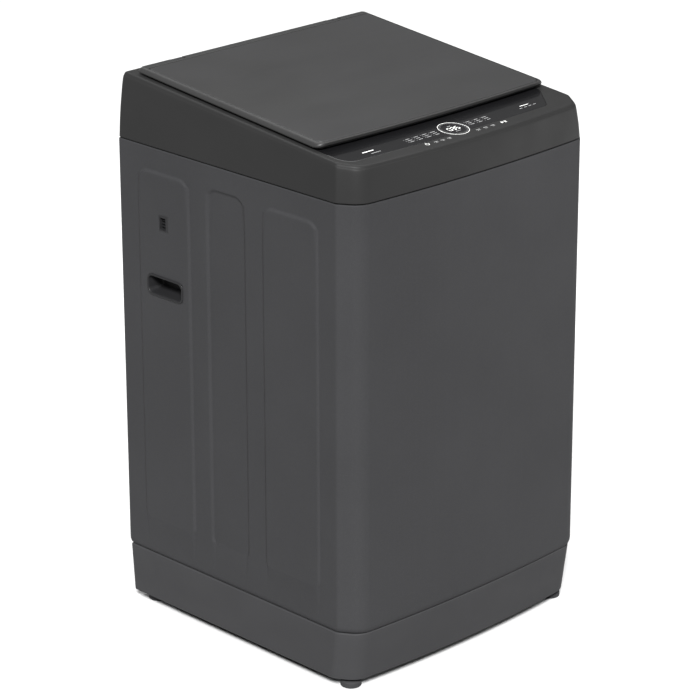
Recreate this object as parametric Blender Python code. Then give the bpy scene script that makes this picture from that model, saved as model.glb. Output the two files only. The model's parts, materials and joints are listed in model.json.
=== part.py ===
"""Top load washing machine: steel cabinet on a moulded base, sloped top cover with a control
glass, hinged lid, and the suspended wash unit inside.

Metres, +Z up.  X runs across the machine, the front faces -Y.  The origin is the centre of the
footprint on the floor.
"""
import math

import bmesh
import bpy
from mathutils import Vector
from mathutils.geometry import delaunay_2d_cdt

# ---------------------------------------------------------------- driving sizes
WIDTH = 0.590            # across the flat side walls
DEPTH = 0.590            # front centre to rear
FOOT_H = 0.018           # floor to base skirt
SKIRT_H = 0.093          # height of the base skirt
BODY_H = 0.865           # base skirt bottom to the top cover seam
GAP = 0.0003             # between pieces that touch
SHEET = 0.0012           # cabinet steel
MOULD = 0.0025           # moulded cover wall

FRONT_BOW = 0.0137       # how far the front edge falls back at the sides
SKIRT_BOW = 0.0176
CREASE_BACK = 0.035      # front corner strip, measured along the side wall
CREASE_IN = 0.0237       # front corner strip, measured along the front
BEND = 0.0206            # length over which the strip rolls into the front
REAR_R = 0.006           # rear corner radius

COVER_FRONT_H = 0.0615   # seam to cover top at the front
SLOPE = 0.100            # rise of the cover top per metre of depth
COVER_LIFT = 0.86        # part of the cover wall that is nearly upright

LID_SIDE_IN = 0.018      # lid side edge inside the cabinet side
LID_FRONT_IN = 0.094     # lid front edge behind the cabinet front
LID_REAR_IN = 0.036      # lid rear edge inside the cabinet rear
LID_BOW = 0.008
LID_UNDER = 0.0030       # lid underside above the cover top
LID_TOP = 0.0140         # lid top above the cover top
LID_RIM = 0.0086         # rim width round the inset lid panel
LID_REAR_RIM = 0.009     # further rim width at the rear, over the hinges
LID_POCKET = 0.0030

MOUTH_SIDE_IN = 0.090    # loading mouth edge inside the cabinet side
MOUTH_FRONT_IN = 0.138
MOUTH_REAR_IN = 0.098
MOUTH_R = 0.085
COLLAR_CLEAR = 0.012     # collar end above the seam

EMBOSS = 0.003           # height of the side wall panels
EMBOSS_SLOPE = 0.008
EMBOSS_R = 0.028
EMBOSS_LOW = 0.150       # panel foot above the skirt bottom
EMBOSS_TOP = 0.039       # panel head below the seam
EMBOSS_REAR_IN = 0.050   # rear panel, from the cabinet rear
EMBOSS_REAR_W = 0.136
EMBOSS_FRONT_IN = 0.0865 # front panel, from the front centre
EMBOSS_FRONT_W = 0.1385
EMBOSS_MID_W = 0.100     # sunk panel, between the other two
EMBOSS_MID_SHIFT = 0.0015

HANDLE_C = (0.120, 0.2485)       # from the cabinet rear, below the seam
HANDLE_SIZE = (0.088, 0.034)
HANDLE_R = 0.011
HANDLE_DEPTH = 0.028
SLOT_C = (0.1185, 0.131)
SLOT_SIZE = (0.024, 0.029)
SLOT_POCKET = (0.015, 0.022)
SLOT_DEPTH = 0.008

FOOT_X_IN = 0.037        # foot centre inside the side wall
FOOT_FRONT_IN = 0.052
FOOT_REAR_IN = 0.036
FOOT_R = 0.0185
STUD_R = 0.005

TUB_CLEAR = 0.038        # tub wall inside the cabinet wall
TUB_T = 0.0035
TUB_FLOOR_T = 0.004
DRUM_CLEAR = 0.023       # drum wall inside the tub wall
DRUM_T = 0.0012
ROD_R = 0.004
ROD_X_IN = 0.045
ROD_Y_IN = 0.061

FINE = 36                # facets on large round pieces
COARSE = 16              # facets on small round pieces
FOOT_FACETS = 20
CORNER_STEPS = 4

# ---------------------------------------------------------------- derived sizes
FRONT = -DEPTH / 2
REAR = DEPTH / 2
HALF_W = WIDTH / 2
CAB_Z = FOOT_H + SKIRT_H
SEAM = FOOT_H + BODY_H
MOUTH_HALF_X = HALF_W - MOUTH_SIDE_IN
MOUTH_HALF_Y = (DEPTH - MOUTH_FRONT_IN - MOUTH_REAR_IN) / 2
MOUTH_Y = FRONT + MOUTH_FRONT_IN + MOUTH_HALF_Y
TUB_R = min(WIDTH, DEPTH) / 2 - TUB_CLEAR
DRUM_R = TUB_R - DRUM_CLEAR
RING_IN_R = DRUM_R - 0.035
ROD_X = HALF_W - ROD_X_IN
ROD_Y = REAR - ROD_Y_IN
Z_ROTOR = FOOT_H + 0.034
Z_TUB = Z_ROTOR + 0.144
Z_TUB_IN = Z_TUB + TUB_FLOOR_T
Z_DRUM = Z_TUB + 0.039
Z_TUB_TOP = SEAM - 0.038
Z_DRUM_TOP = Z_TUB_TOP - 0.045
Z_LUG = Z_TUB + 0.104
LUG_T = 0.012
HINGE_Y = REAR - LID_REAR_IN - (LID_TOP - LID_UNDER) / 2
Z_BRACE = SEAM - 0.021


def cover_z(y, lift=0.0):
    """Height of the sloped cover top at depth y."""
    return SEAM + COVER_FRONT_H + SLOPE * (y - FRONT) + lift


HINGE_Z = cover_z(HINGE_Y, (LID_TOP + LID_UNDER) / 2)


# ---------------------------------------------------------------- scene and materials
for old in list(bpy.data.objects):
    bpy.data.objects.remove(old, do_unlink=True)


def linear(value):
    """sRGB 0-255 to linear."""
    v = value / 255.0
    return v / 12.92 if v <= 0.04045 else ((v + 0.055) / 1.055) ** 2.4


def material(name, rgb, rough, metal=0.0):
    mat = bpy.data.materials.new(name)
    mat.use_nodes = True
    shader = mat.node_tree.nodes["Principled BSDF"]
    shader.inputs["Base Color"].default_value = [linear(c) for c in rgb] + [1.0]
    shader.inputs["Roughness"].default_value = rough
    shader.inputs["Metallic"].default_value = metal
    return mat


PALETTE = {
    "cabinet_paint": ((82, 82, 84), 0.45, 0.35),
    "panel_steel": ((120, 122, 124), 0.45, 0.8),
    "base_plastic": ((74, 74, 76), 0.55, 0.0),
    "cover_plastic": ((60, 60, 61), 0.40, 0.0),
    "lid_plastic": ((66, 66, 68), 0.35, 0.0),
    "lid_glass": ((78, 78, 80), 0.30, 0.0),
    "control_glass": ((34, 34, 35), 0.15, 0.0),
    "board_case": ((190, 190, 186), 0.60, 0.0),
    "black_plastic": ((24, 24, 25), 0.50, 0.0),
    "handle_plastic": ((50, 50, 51), 0.45, 0.0),
    "rubber": ((22, 22, 22), 0.80, 0.0),
    "zinc_steel": ((150, 152, 154), 0.40, 0.9),
    "drum_steel": ((190, 192, 194), 0.28, 1.0),
    "tub_plastic": ((205, 206, 204), 0.60, 0.0),
    "ring_plastic": ((176, 178, 180), 0.55, 0.0),
    "pulsator_plastic": ((186, 188, 192), 0.50, 0.0),
    "filter_plastic": ((150, 156, 164), 0.55, 0.0),
    "cast_alloy": ((158, 160, 162), 0.50, 0.9),
    "copper_stator": ((126, 84, 58), 0.50, 0.6),
    "drawer_plastic": ((196, 198, 202), 0.50, 0.0),
    "valve_plastic": ((214, 216, 214), 0.50, 0.0),
}


def finish(name, bm, colour, smooth_deg=35.0):
    """Turn a bmesh into a named object with its own material."""
    bmesh.ops.remove_doubles(bm, verts=bm.verts, dist=1e-6)
    bmesh.ops.recalc_face_normals(bm, faces=bm.faces)
    limit = math.radians(smooth_deg)
    for edge in bm.edges:
        edge.smooth = len(edge.link_faces) == 2 and edge.calc_face_angle(0.0) < limit
    for face in bm.faces:
        face.smooth = True
    mesh = bpy.data.meshes.new(name)
    bm.to_mesh(mesh)
    bm.free()
    obj = bpy.data.objects.new(name, mesh)
    bpy.context.scene.collection.objects.link(obj)
    obj.data.materials.append(material(name, *PALETTE[colour]))
    return obj


def rebuild(obj):
    """Replace the object's mesh by its evaluated mesh and drop the modifiers."""
    graph = bpy.context.evaluated_depsgraph_get()
    mesh = bpy.data.meshes.new_from_object(obj.evaluated_get(graph))
    obj.modifiers.clear()
    obj.data = mesh
    bm = bmesh.new()
    bm.from_mesh(mesh)
    bmesh.ops.remove_doubles(bm, verts=bm.verts, dist=2e-6)
    bmesh.ops.dissolve_degenerate(bm, edges=bm.edges, dist=2e-6)
    limit = math.radians(35.0)
    for edge in bm.edges:
        edge.smooth = len(edge.link_faces) == 2 and edge.calc_face_angle(0.0) < limit
    for face in bm.faces:
        face.smooth = True
    bm.to_mesh(mesh)
    bm.free()
    return obj


def combine(obj, tool, operation):
    """Exact boolean of two closed solids; the tool is used up."""
    mod = obj.modifiers.new("tool", "BOOLEAN")
    mod.operation = operation
    mod.solver = "EXACT"
    mod.object = tool
    bpy.context.view_layer.update()
    rebuild(obj)
    bpy.data.objects.remove(tool, do_unlink=True)
    return obj


# ---------------------------------------------------------------- outlines
def plan(side, front, rear, bow=FRONT_BOW, steps=10):
    """Closed plan outline of the cabinet, inset from the sides, front and rear.

    Runs from the rear left corner down the left side, along the bowed front and up the right.
    """
    hw = WIDTH / 2 - side
    yr = REAR - rear

    def front_y(x):
        return FRONT + front + bow * (2 * x / WIDTH) ** 2

    left = []
    for i in range(CORNER_STEPS + 1):
        a = math.pi / 2 * (1 + i / CORNER_STEPS)
        left.append(Vector((-hw + REAR_R + REAR_R * math.cos(a), yr - REAR_R + REAR_R * math.sin(a))))
    crease = Vector((-hw, front_y(hw) + CREASE_BACK))
    bend = Vector((-hw + CREASE_IN, front_y(hw - CREASE_IN)))
    start = bend + (crease - bend).normalized() * BEND
    end_x = -hw + CREASE_IN + BEND
    end = Vector((end_x, front_y(end_x)))
    left.append(crease)
    for i in range(6):
        t = i / 5
        left.append(start * (1 - t) ** 2 + bend * (2 * t * (1 - t)) + end * t * t)
    middle = []
    for i in range(1, steps):
        x = end_x + (-2 * end_x) * i / steps
        middle.append(Vector((x, front_y(x))))
    right = [Vector((-p.x, p.y)) for p in reversed(left)]
    return left + middle + right


CREASE_INDEX = CORNER_STEPS + 1


def offset_loop(points, inset):
    """Move a counterclockwise closed loop inwards by inset."""
    out = []
    n = len(points)
    for i in range(n):
        a = points[i - 1]
        b = points[i]
        c = points[(i + 1) % n]
        d1 = (b - a).normalized()
        d2 = (c - b).normalized()
        n1 = Vector((-d1.y, d1.x))
        n2 = Vector((-d2.y, d2.x))
        mid = n1 + n2
        out.append(b + mid * (2 * inset / mid.length_squared))
    return out


def rounded_rect(cx, cy, w, h, r, steps=5):
    """Counterclockwise rounded rectangle."""
    pts = []
    for kx, ky, a0 in ((1, -1, -90), (1, 1, 0), (-1, 1, 90), (-1, -1, 180)):
        for i in range(steps + 1):
            a = math.radians(a0 + 90 * i / steps)
            x = cx + kx * (w / 2 - r) + r * math.cos(a)
            y = cy + ky * (h / 2 - r) + r * math.sin(a)
            pts.append(Vector((x, y)))
    return pts


def circle(cx, cy, r, steps=COARSE):
    out = []
    for i in range(steps):
        a = 2 * math.pi * i / steps
        out.append(Vector((cx + r * math.cos(a), cy + r * math.sin(a))))
    return out


def inside(point, loop):
    hit = False
    n = len(loop)
    for i in range(n):
        a = loop[i - 1]
        b = loop[i]
        if (a.y > point.y) != (b.y > point.y):
            if point.x < (b.x - a.x) * (point.y - a.y) / (b.y - a.y) + a.x:
                hit = not hit
    return hit


def fill(outer, holes):
    """Triangles between an outer loop and holes: index triples into outer + holes, counterclockwise."""
    points = list(outer)
    edges = [(i, (i + 1) % len(outer)) for i in range(len(outer))]
    for hole in holes:
        base = len(points)
        points += hole
        edges += [(base + i, base + (i + 1) % len(hole)) for i in range(len(hole))]
    verts, _, faces, origin, _, _ = delaunay_2d_cdt(points, edges, [], 0, 1e-7)
    result = []
    for face in faces:
        centre = (verts[face[0]] + verts[face[1]] + verts[face[2]]) / 3
        if not inside(centre, outer) or any(inside(centre, hole) for hole in holes):
            continue
        result.append([origin[k][0] for k in face])
    return result


# ---------------------------------------------------------------- solid builders
class Skin:
    """An open or closed surface collected piece by piece."""

    def __init__(self):
        self.bm = bmesh.new()

    def face(self, points):
        verts = [self.bm.verts.new(p) for p in points]
        self.bm.faces.new(verts)

    def strip(self, row_a, row_b, closed=True):
        n = len(row_a)
        last = n if closed else n - 1
        for i in range(last):
            j = (i + 1) % n
            self.face([row_a[i], row_a[j], row_b[j], row_b[i]])

    def area(self, outer, holes, place, flip=False):
        points = list(outer)
        for hole in holes:
            points += hole
        for tri in fill(outer, holes):
            corners = [place(points[k]) for k in tri]
            self.face(corners[::-1] if flip else corners)

    def thicken(self, name, colour, thickness):
        """Give the surface a wall thickness on the side away from its normals."""
        bm = self.bm
        bmesh.ops.remove_doubles(bm, verts=bm.verts, dist=1e-6)
        bmesh.ops.dissolve_degenerate(bm, edges=bm.edges, dist=1e-6)
        mesh = bpy.data.meshes.new(name)
        bm.to_mesh(mesh)
        bm.free()
        obj = bpy.data.objects.new(name, mesh)
        bpy.context.scene.collection.objects.link(obj)
        mod = obj.modifiers.new("wall", "SOLIDIFY")
        mod.thickness = thickness
        mod.offset = -1.0
        mod.use_even_offset = True
        mod.use_quality_normals = True
        bpy.context.view_layer.update()
        rebuild(obj)
        obj.data.materials.clear()
        obj.data.materials.append(material(name, *PALETTE[colour]))
        return obj


def loft(name, rings, colour, loop=False, smooth_deg=35.0):
    """Closed body through rings of equal length; flat caps unless it closes on itself."""
    skin = Skin()
    pairs = list(zip(rings, rings[1:]))
    if loop:
        pairs.append((rings[-1], rings[0]))
    for a, b in pairs:
        skin.strip(a, b)
    if not loop:
        skin.face(list(reversed(rings[0])))
        skin.face(rings[-1])
    return finish(name, skin.bm, colour, smooth_deg)


def lathe(name, profile, colour, centre=(0.0, 0.0), steps=COARSE, axis="Z", wave=None):
    """Revolve a closed profile of (radius, height); points at radius 0 sit on the axis."""
    skin = Skin()
    cx, cy = centre

    def at(r, h, i):
        a = 2 * math.pi * i / steps
        if wave:
            h += wave(r, a, h)
        if axis == "Z":
            return Vector((cx + r * math.cos(a), cy + r * math.sin(a), h))
        return Vector((cx + r * math.cos(a), h, cy + r * math.sin(a)))

    closed = all(r > 0 for r, _ in profile)
    count = len(profile)
    spans = count if closed else count - 1
    for k in range(spans):
        r0, h0 = profile[k]
        r1, h1 = profile[(k + 1) % count]
        for i in range(steps):
            quad = []
            for r, h, j in ((r0, h0, i), (r0, h0, i + 1), (r1, h1, i + 1), (r1, h1, i)):
                if r == 0 and quad and any(q[1] == (0, h) for q in quad):
                    continue
                quad.append((at(r, h, j % steps if r else 0), (0, h) if r == 0 else None))
            skin.face([q[0] for q in quad])
    return finish(name, skin.bm, colour)


def slab(name, outer, holes, low, high, place, colour):
    """Flat plate with holes: place(point, height) maps the plan to space."""
    skin = Skin()
    skin.area(outer, holes, lambda p: place(p, high))
    skin.area(outer, holes, lambda p: place(p, low), flip=True)
    for ring in [outer] + list(holes):
        skin.strip([place(p, low) for p in ring], [place(p, high) for p in ring])
    return finish(name, skin.bm, colour)


def upright(point, height):
    return Vector((point.x, point.y, height))


def on_cover(point, lift):
    return Vector((point.x, point.y, cover_z(point.y, lift)))


def block(name, low, high, colour, chamfer=0.0):
    """Box with chamfered upright edges."""
    cx = (low[0] + high[0]) / 2
    cy = (low[1] + high[1]) / 2
    w = high[0] - low[0]
    h = high[1] - low[1]
    if chamfer:
        outline = rounded_rect(cx, cy, w, h, chamfer, 2)
    else:
        outline = [Vector((low[0], low[1])), Vector((high[0], low[1])),
                   Vector((high[0], high[1])), Vector((low[0], high[1]))]
    rings = [[upright(p, z) for p in outline] for z in (low[2], high[2])]
    return loft(name, rings, colour)


def rod_along_x(name, x0, x1, y, z, r, colour, steps=16):
    rings = []
    for x in (x0, x1):
        rings.append([Vector((x, p.x, p.y)) for p in circle(y, z, r, steps)])
    return loft(name, rings, colour)


# ---------------------------------------------------------------- cabinet
def cabinet():
    """One steel wrap: left side, bowed front and right side, with flanged rear, top and base."""
    skin = Skin()
    fold_x = HALF_W - 0.050
    lap_x = fold_x - 0.017
    lap_y = REAR - 0.0219

    def row(inset, z):
        loop = plan(inset, inset, inset)
        points = [Vector((-lap_x, lap_y)), Vector((-fold_x, lap_y)), Vector((-fold_x, REAR))]
        points += loop
        points += [Vector((fold_x, REAR)), Vector((fold_x, lap_y)), Vector((lap_x, lap_y))]
        return [upright(p, z) for p in points]

    levels = [(0.020, CAB_Z), (0.006, CAB_Z), (0.0015, CAB_Z + 0.004), (0.0, CAB_Z + 0.012),
              (0.0, SEAM), (0.012, SEAM)]
    rows = [row(inset, z) for inset, z in levels]
    count = len(rows[0])
    side_left = 3 + CREASE_INDEX - 1
    side_right = count - 2 - side_left
    for k in range(len(rows) - 1):
        for i in range(count - 1):
            if k == 3 and i in (side_left, side_right):
                continue
            skin.face([rows[k][i], rows[k][i + 1], rows[k + 1][i + 1], rows[k + 1][i]])

    y_rear = rows[3][side_left].y
    y_crease = rows[3][side_left + 1].y
    z0 = levels[3][1]
    for sign in (-1, 1):
        wall_panels(skin, sign, y_crease, y_rear, z0, SEAM)
    return skin.thicken("cabinet", "cabinet_paint", SHEET)


def wall_panels(skin, sign, y0, y1, z0, z1):
    """One side wall: two raised panels and a sunk one, with openings for the grip and vent."""
    flip = sign < 0

    def at(height):
        return lambda p: Vector((sign * (HALF_W + height), p.x, p.y))

    outline = [Vector((y0, z0)), Vector((y1, z0)), Vector((y1, z1)), Vector((y0, z1))]
    low = FOOT_H + EMBOSS_LOW
    high = SEAM - EMBOSS_TOP
    rear_y = REAR - EMBOSS_REAR_IN - EMBOSS_REAR_W / 2
    front_y = FRONT + EMBOSS_FRONT_IN + EMBOSS_FRONT_W / 2
    mid_y = (rear_y - EMBOSS_REAR_W / 2 + front_y + EMBOSS_FRONT_W / 2) / 2 + EMBOSS_MID_SHIFT
    panels = ((rear_y, EMBOSS_REAR_W, EMBOSS), (mid_y, EMBOSS_MID_W, -EMBOSS),
              (front_y, EMBOSS_FRONT_W, EMBOSS))
    outers = []
    for cy, w, height in panels:
        outer = rounded_rect(cy, (low + high) / 2, w, high - low, EMBOSS_R)
        inner = rounded_rect(cy, (low + high) / 2, w - 2 * EMBOSS_SLOPE,
                             high - low - 2 * EMBOSS_SLOPE, EMBOSS_R - EMBOSS_SLOPE)
        outers.append(outer)
        holes = []
        if cy == rear_y:
            holes.append(handle_loop(2 * 0.0010))
            holes.append(slot_loop(2 * GAP))
        skin.area(inner, holes, at(height), flip)
        a = [at(0.0)(p) for p in outer]
        b = [at(height)(p) for p in inner]
        if flip:
            a, b = b, a
        skin.strip(a, b)
    skin.area(outline, outers, at(0.0), flip)


def handle_loop(grow):
    return rounded_rect(REAR - HANDLE_C[0], SEAM - HANDLE_C[1], HANDLE_SIZE[0] + grow,
                        HANDLE_SIZE[1] + grow, max(HANDLE_R + grow / 2, HANDLE_R / 4), 3)


def slot_loop(grow):
    return rounded_rect(REAR - SLOT_C[0], SEAM - SLOT_C[1], SLOT_SIZE[0] + grow,
                        SLOT_SIZE[1] + grow, 0.002 + grow / 2, 2)


def side_ring(loop, sign, x):
    """Ring in a side wall plane, x measured outwards from the raised panel's face."""
    return [Vector((sign * (HALF_W + EMBOSS + x), p.x, p.y)) for p in loop]


def handle_cup(name, sign):
    """Moulded finger grip pushed into the side wall."""
    rings = [
        side_ring(handle_loop(-0.014), sign, -HANDLE_DEPTH - 0.002),
        side_ring(handle_loop(-0.004), sign, -0.012),
        side_ring(handle_loop(0.001), sign, -SHEET),
        side_ring(handle_loop(0.001), sign, GAP),
        side_ring(handle_loop(0.006), sign, GAP),
        side_ring(handle_loop(0.006), sign, 0.0010),
        side_ring(handle_loop(0.004), sign, 0.0018),
        side_ring(handle_loop(-0.003), sign, 0.0012),
        side_ring(handle_loop(-0.008), sign, -0.012),
        side_ring(handle_loop(-0.018), sign, -HANDLE_DEPTH),
    ]
    return loft(name, rings, "handle_plastic")


def slot_plug(name, sign):
    """Rectangular vent insert with a dark pocket."""
    pocket = rounded_rect(REAR - SLOT_C[0] + 0.002, SEAM - SLOT_C[1] - 0.001, SLOT_POCKET[0],
                          SLOT_POCKET[1], 0.001, 2)
    rings = [
        side_ring(slot_loop(-0.002), sign, -SLOT_DEPTH - 0.002),
        side_ring(slot_loop(0.0), sign, -SHEET - 0.001),
        side_ring(slot_loop(0.0), sign, -0.0002),
        side_ring(slot_loop(-0.0006), sign, 0.0),
        side_ring(pocket, sign, 0.0),
        side_ring(pocket, sign, -SLOT_DEPTH),
    ]
    return loft(name, rings, "black_plastic")


def rear_panel():
    """Screwed-on rear plate, recessed so the hose and cord fittings stay inside the depth."""
    half = HALF_W - 0.050 - 0.0004
    z0 = CAB_Z + 0.001
    z1 = SEAM - 0.001
    outline = [Vector((-half, z0)), Vector((half, z0)), Vector((half, z1)), Vector((-half, z1))]
    holes = [circle(DRAIN_X, PORT_Z, 0.0162), circle(GLAND_X, PORT_Z, 0.0102)]
    for i in range(5):
        z = CAB_Z + 0.060 + 0.022 * i
        holes.append(rounded_rect(0.0, z, 0.090, 0.008, 0.0038, 2))
    y0 = REAR - 0.0216
    place = (lambda p, h: Vector((p.x, h, p.y)))
    return slab("rear_panel", outline, holes, y0, y0 + SHEET, place, "panel_steel")


DRAIN_X = -0.190
GLAND_X = 0.190
PORT_Z = SEAM - 0.085


def rear_ports():
    y_out = REAR - 0.0216 + SHEET + GAP
    y_in = REAR - 0.034
    drain = [(0.0115, y_in), (0.0157, y_in), (0.0157, y_out), (0.024, y_out),
             (0.024, y_out + 0.0026), (0.0150, y_out + 0.0026), (0.0150, REAR - 0.002),
             (0.0165, REAR - 0.0005), (0.0115, REAR - 0.0005)]
    lathe("drain_outlet", drain, "black_plastic", (DRAIN_X, PORT_Z), COARSE, "Y")
    gland = [(0.0042, y_in), (0.0097, y_in), (0.0097, y_out), (0.0150, y_out),
             (0.0150, y_out + 0.003), (0.0105, y_out + 0.006), (0.0042, y_out + 0.006)]
    lathe("cord_gland", gland, "rubber", (GLAND_X, PORT_Z), COARSE, "Y")


# ---------------------------------------------------------------- base
SKIRT_T = 0.003
BRACKET_X = 0.058        # corner bracket beyond its foot, across the machine
BRACKET_Y = 0.053


def skirt_ring(extra, z):
    """Skirt outline at height z; the walls draw in a little towards the floor."""
    t = (z - FOOT_H) / SKIRT_H
    side = 0.0045 + (0.0015 - 0.0045) * t
    front = 0.0121 + (0.0035 - 0.0121) * t
    bow = SKIRT_BOW + (FRONT_BOW - SKIRT_BOW) * t
    return plan(side + extra, front + extra, side + extra, bow)


def base_skirt():
    top = CAB_Z - GAP
    levels = [(0.0, FOOT_H), (0.0, top), (0.030, top), (0.030, top - SKIRT_T),
              (SKIRT_T, top - SKIRT_T), (SKIRT_T, FOOT_H)]
    rings = [[upright(p, z) for p in skirt_ring(extra, z)] for extra, z in levels]
    return loft("base_skirt", rings, "base_plastic", loop=True)


def clip_corner(loop, sx, front, x_lim, y_lim):
    """The part of a plan outline in one corner, closed by a straight cut."""
    pts = []
    for p in loop:
        near_x = p.x * sx > x_lim
        near_y = p.y < -y_lim if front else p.y > y_lim
        if near_x and near_y:
            pts.append(p)
    side_x = sx * max(abs(p.x) for p in loop)
    end_y = -y_lim if front else y_lim
    far_y = min(p.y for p in loop) if front else max(p.y for p in loop)
    return pts, Vector((side_x, end_y)), Vector((sx * x_lim, far_y))


def order_ccw(points):
    c = sum(points, Vector((0.0, 0.0))) / len(points)
    return sorted(points, key=lambda p: math.atan2(p.y - c.y, p.x - c.x))


def base_brackets_and_feet():
    """Corner plates inside the skirt that carry the levelling feet."""
    z0 = FOOT_H + 0.0008
    t = 0.003
    for sx, x_name in ((-1, "left"), (1, "right")):
        for front in (True, False):
            tag = ("front_" if front else "rear_") + x_name
            loop = skirt_ring(SKIRT_T + 0.0009, z0 + t)
            x_lim = HALF_W - FOOT_X_IN - BRACKET_X
            y_lim = REAR - FOOT_FRONT_IN - BRACKET_Y
            pts, side_pt, end_pt = clip_corner(loop, sx, front, x_lim, y_lim)
            if front:
                end_pt.y = FRONT + 0.0121 + SKIRT_T + 0.0015 + SKIRT_BOW * (2 * x_lim / WIDTH) ** 2
            fx = sx * (HALF_W - FOOT_X_IN)
            fy = FRONT + FOOT_FRONT_IN if front else REAR - FOOT_REAR_IN
            outline = order_ccw(pts + [side_pt, end_pt])
            hole = circle(fx, fy, STUD_R + GAP)
            slab("base_bracket_" + tag, outline, [hole], z0, z0 + t, upright, "zinc_steel")
            foot = [(0.0, 0.0), (FOOT_R - 0.0015, 0.0), (FOOT_R, 0.0015), (FOOT_R, 0.0085),
                    (FOOT_R - 0.0035, 0.0120), (0.0095, 0.0125), (0.0095, z0 - GAP),
                    (STUD_R, z0 - GAP), (STUD_R, z0 + 0.041), (0.0, z0 + 0.041)]
            lathe("foot_" + tag, foot, "black_plastic", (fx, fy), FOOT_FACETS)


# ---------------------------------------------------------------- top cover
def glass_loop():
    """Outline of the control glass: reaches the left edge, cut at an angle on the right."""
    def front_y(x):
        return FRONT + 0.0385 + FRONT_BOW * 0.5 * (2 * x / WIDTH) ** 2

    left = -(HALF_W - 0.0225)
    right = HALF_W - 0.033
    tip = HALF_W - 0.088
    back = FRONT + 0.130
    pts = [Vector((left, back)), Vector((left, FRONT + 0.070)), Vector((left + 0.003, FRONT + 0.0605)),
           Vector((left + 0.0085, FRONT + 0.0510)), Vector((left + 0.018, front_y(left + 0.018) + 0.0012))]
    start = left + 0.030
    for i in range(11):
        x = start + (tip - start) * i / 10
        pts.append(Vector((x, front_y(x))))
    pts += [Vector((tip + 0.008, front_y(tip) + 0.004)), Vector((right - 0.004, FRONT + 0.100)),
            Vector((right, FRONT + 0.110)), Vector((right, back))]
    return pts


def mouth_loop():
    return rounded_rect(0.0, MOUTH_Y, 2 * MOUTH_HALF_X, 2 * MOUTH_HALF_Y, MOUTH_R, 7)


GLASS_T = 0.0024
VALVE_Z = SEAM + 0.062
VALVE_X = (0.120, 0.190)
DRAWER_X = (-0.115, -0.015)
DRAWER_Z = (SEAM + 0.034, SEAM + 0.076)


def top_cover():
    """Moulded cover: tapering walls, sloped deck, control recess and loading mouth collar."""
    skin = Skin()

    def ring(inset, rear, height):
        return [Vector((p.x, p.y, height(p.y))) for p in plan(inset, inset, rear)]

    rings = [
        ring(0.0015, 0.0015, lambda y: SEAM + GAP),
        ring(0.0006, 0.0006, lambda y: SEAM + 0.002),
        ring(0.0026, 0.0026, lambda y: SEAM + COVER_LIFT / 2 * (cover_z(y) - SEAM)),
        ring(0.0062, 0.0066, lambda y: SEAM + COVER_LIFT * (cover_z(y) - SEAM)),
        ring(0.0105, 0.0120, lambda y: cover_z(y, -0.0030)),
        ring(0.0130, 0.0155, lambda y: cover_z(y, -0.0006)),
        ring(0.0160, 0.0200, cover_z),
    ]
    for a, b in zip(rings, rings[1:]):
        skin.strip(a, b)
    deck = plan(0.0160, 0.0160, 0.0200)
    glass = glass_loop()
    mouth = mouth_loop()
    skin.area(deck, [glass, mouth], lambda p: on_cover(p, 0.0))
    drop = -(GLASS_T + GAP)
    ledge = offset_loop(glass, 0.006)
    skin.strip([on_cover(p, 0.0) for p in glass], [on_cover(p, drop) for p in glass])
    skin.strip([on_cover(p, drop) for p in glass], [on_cover(p, drop) for p in ledge])
    soft = offset_loop(mouth, 0.003)
    skin.strip([on_cover(p, 0.0) for p in mouth], [on_cover(p, -0.003) for p in soft])
    skin.strip([on_cover(p, -0.003) for p in soft], [upright(p, SEAM + COLLAR_CLEAR) for p in soft])
    obj = skin.thicken("top_cover", "cover_plastic", MOULD)

    y_back = MOUTH_Y + MOUTH_HALF_Y
    tool = block("tool", (DRAWER_X[0] - 0.0012, y_back - 0.030, DRAWER_Z[0] - 0.0012),
                 (DRAWER_X[1] + 0.0012, y_back + 0.006, DRAWER_Z[1] + 0.0022), "rubber")
    combine(obj, tool, "DIFFERENCE")
    for x in VALVE_X:
        tool = lathe("tool", [(0.0, REAR - 0.020), (0.0135, REAR - 0.020), (0.0135, REAR + 0.010),
                              (0.0, REAR + 0.010)], "rubber", (x, VALVE_Z), COARSE, "Y")
        combine(obj, tool, "DIFFERENCE")
    return obj


def control_parts():
    glass = glass_loop()
    outline = offset_loop(glass, GAP)
    rings = [[on_cover(p, -GLASS_T) for p in outline], [on_cover(p, -0.0003) for p in outline],
             [on_cover(p, 0.0) for p in offset_loop(glass, GAP + 0.0004)]]
    loft("control_glass", rings, "control_glass")
    case = rounded_rect(-0.010, FRONT + 0.092, 0.300, 0.052, 0.004, 2)
    low = -(GLASS_T + GAP + MOULD + 0.019)
    high = -(GLASS_T + GAP + MOULD + GAP)
    slab("control_board_case", case, [], low, high, on_cover, "board_case")


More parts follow.
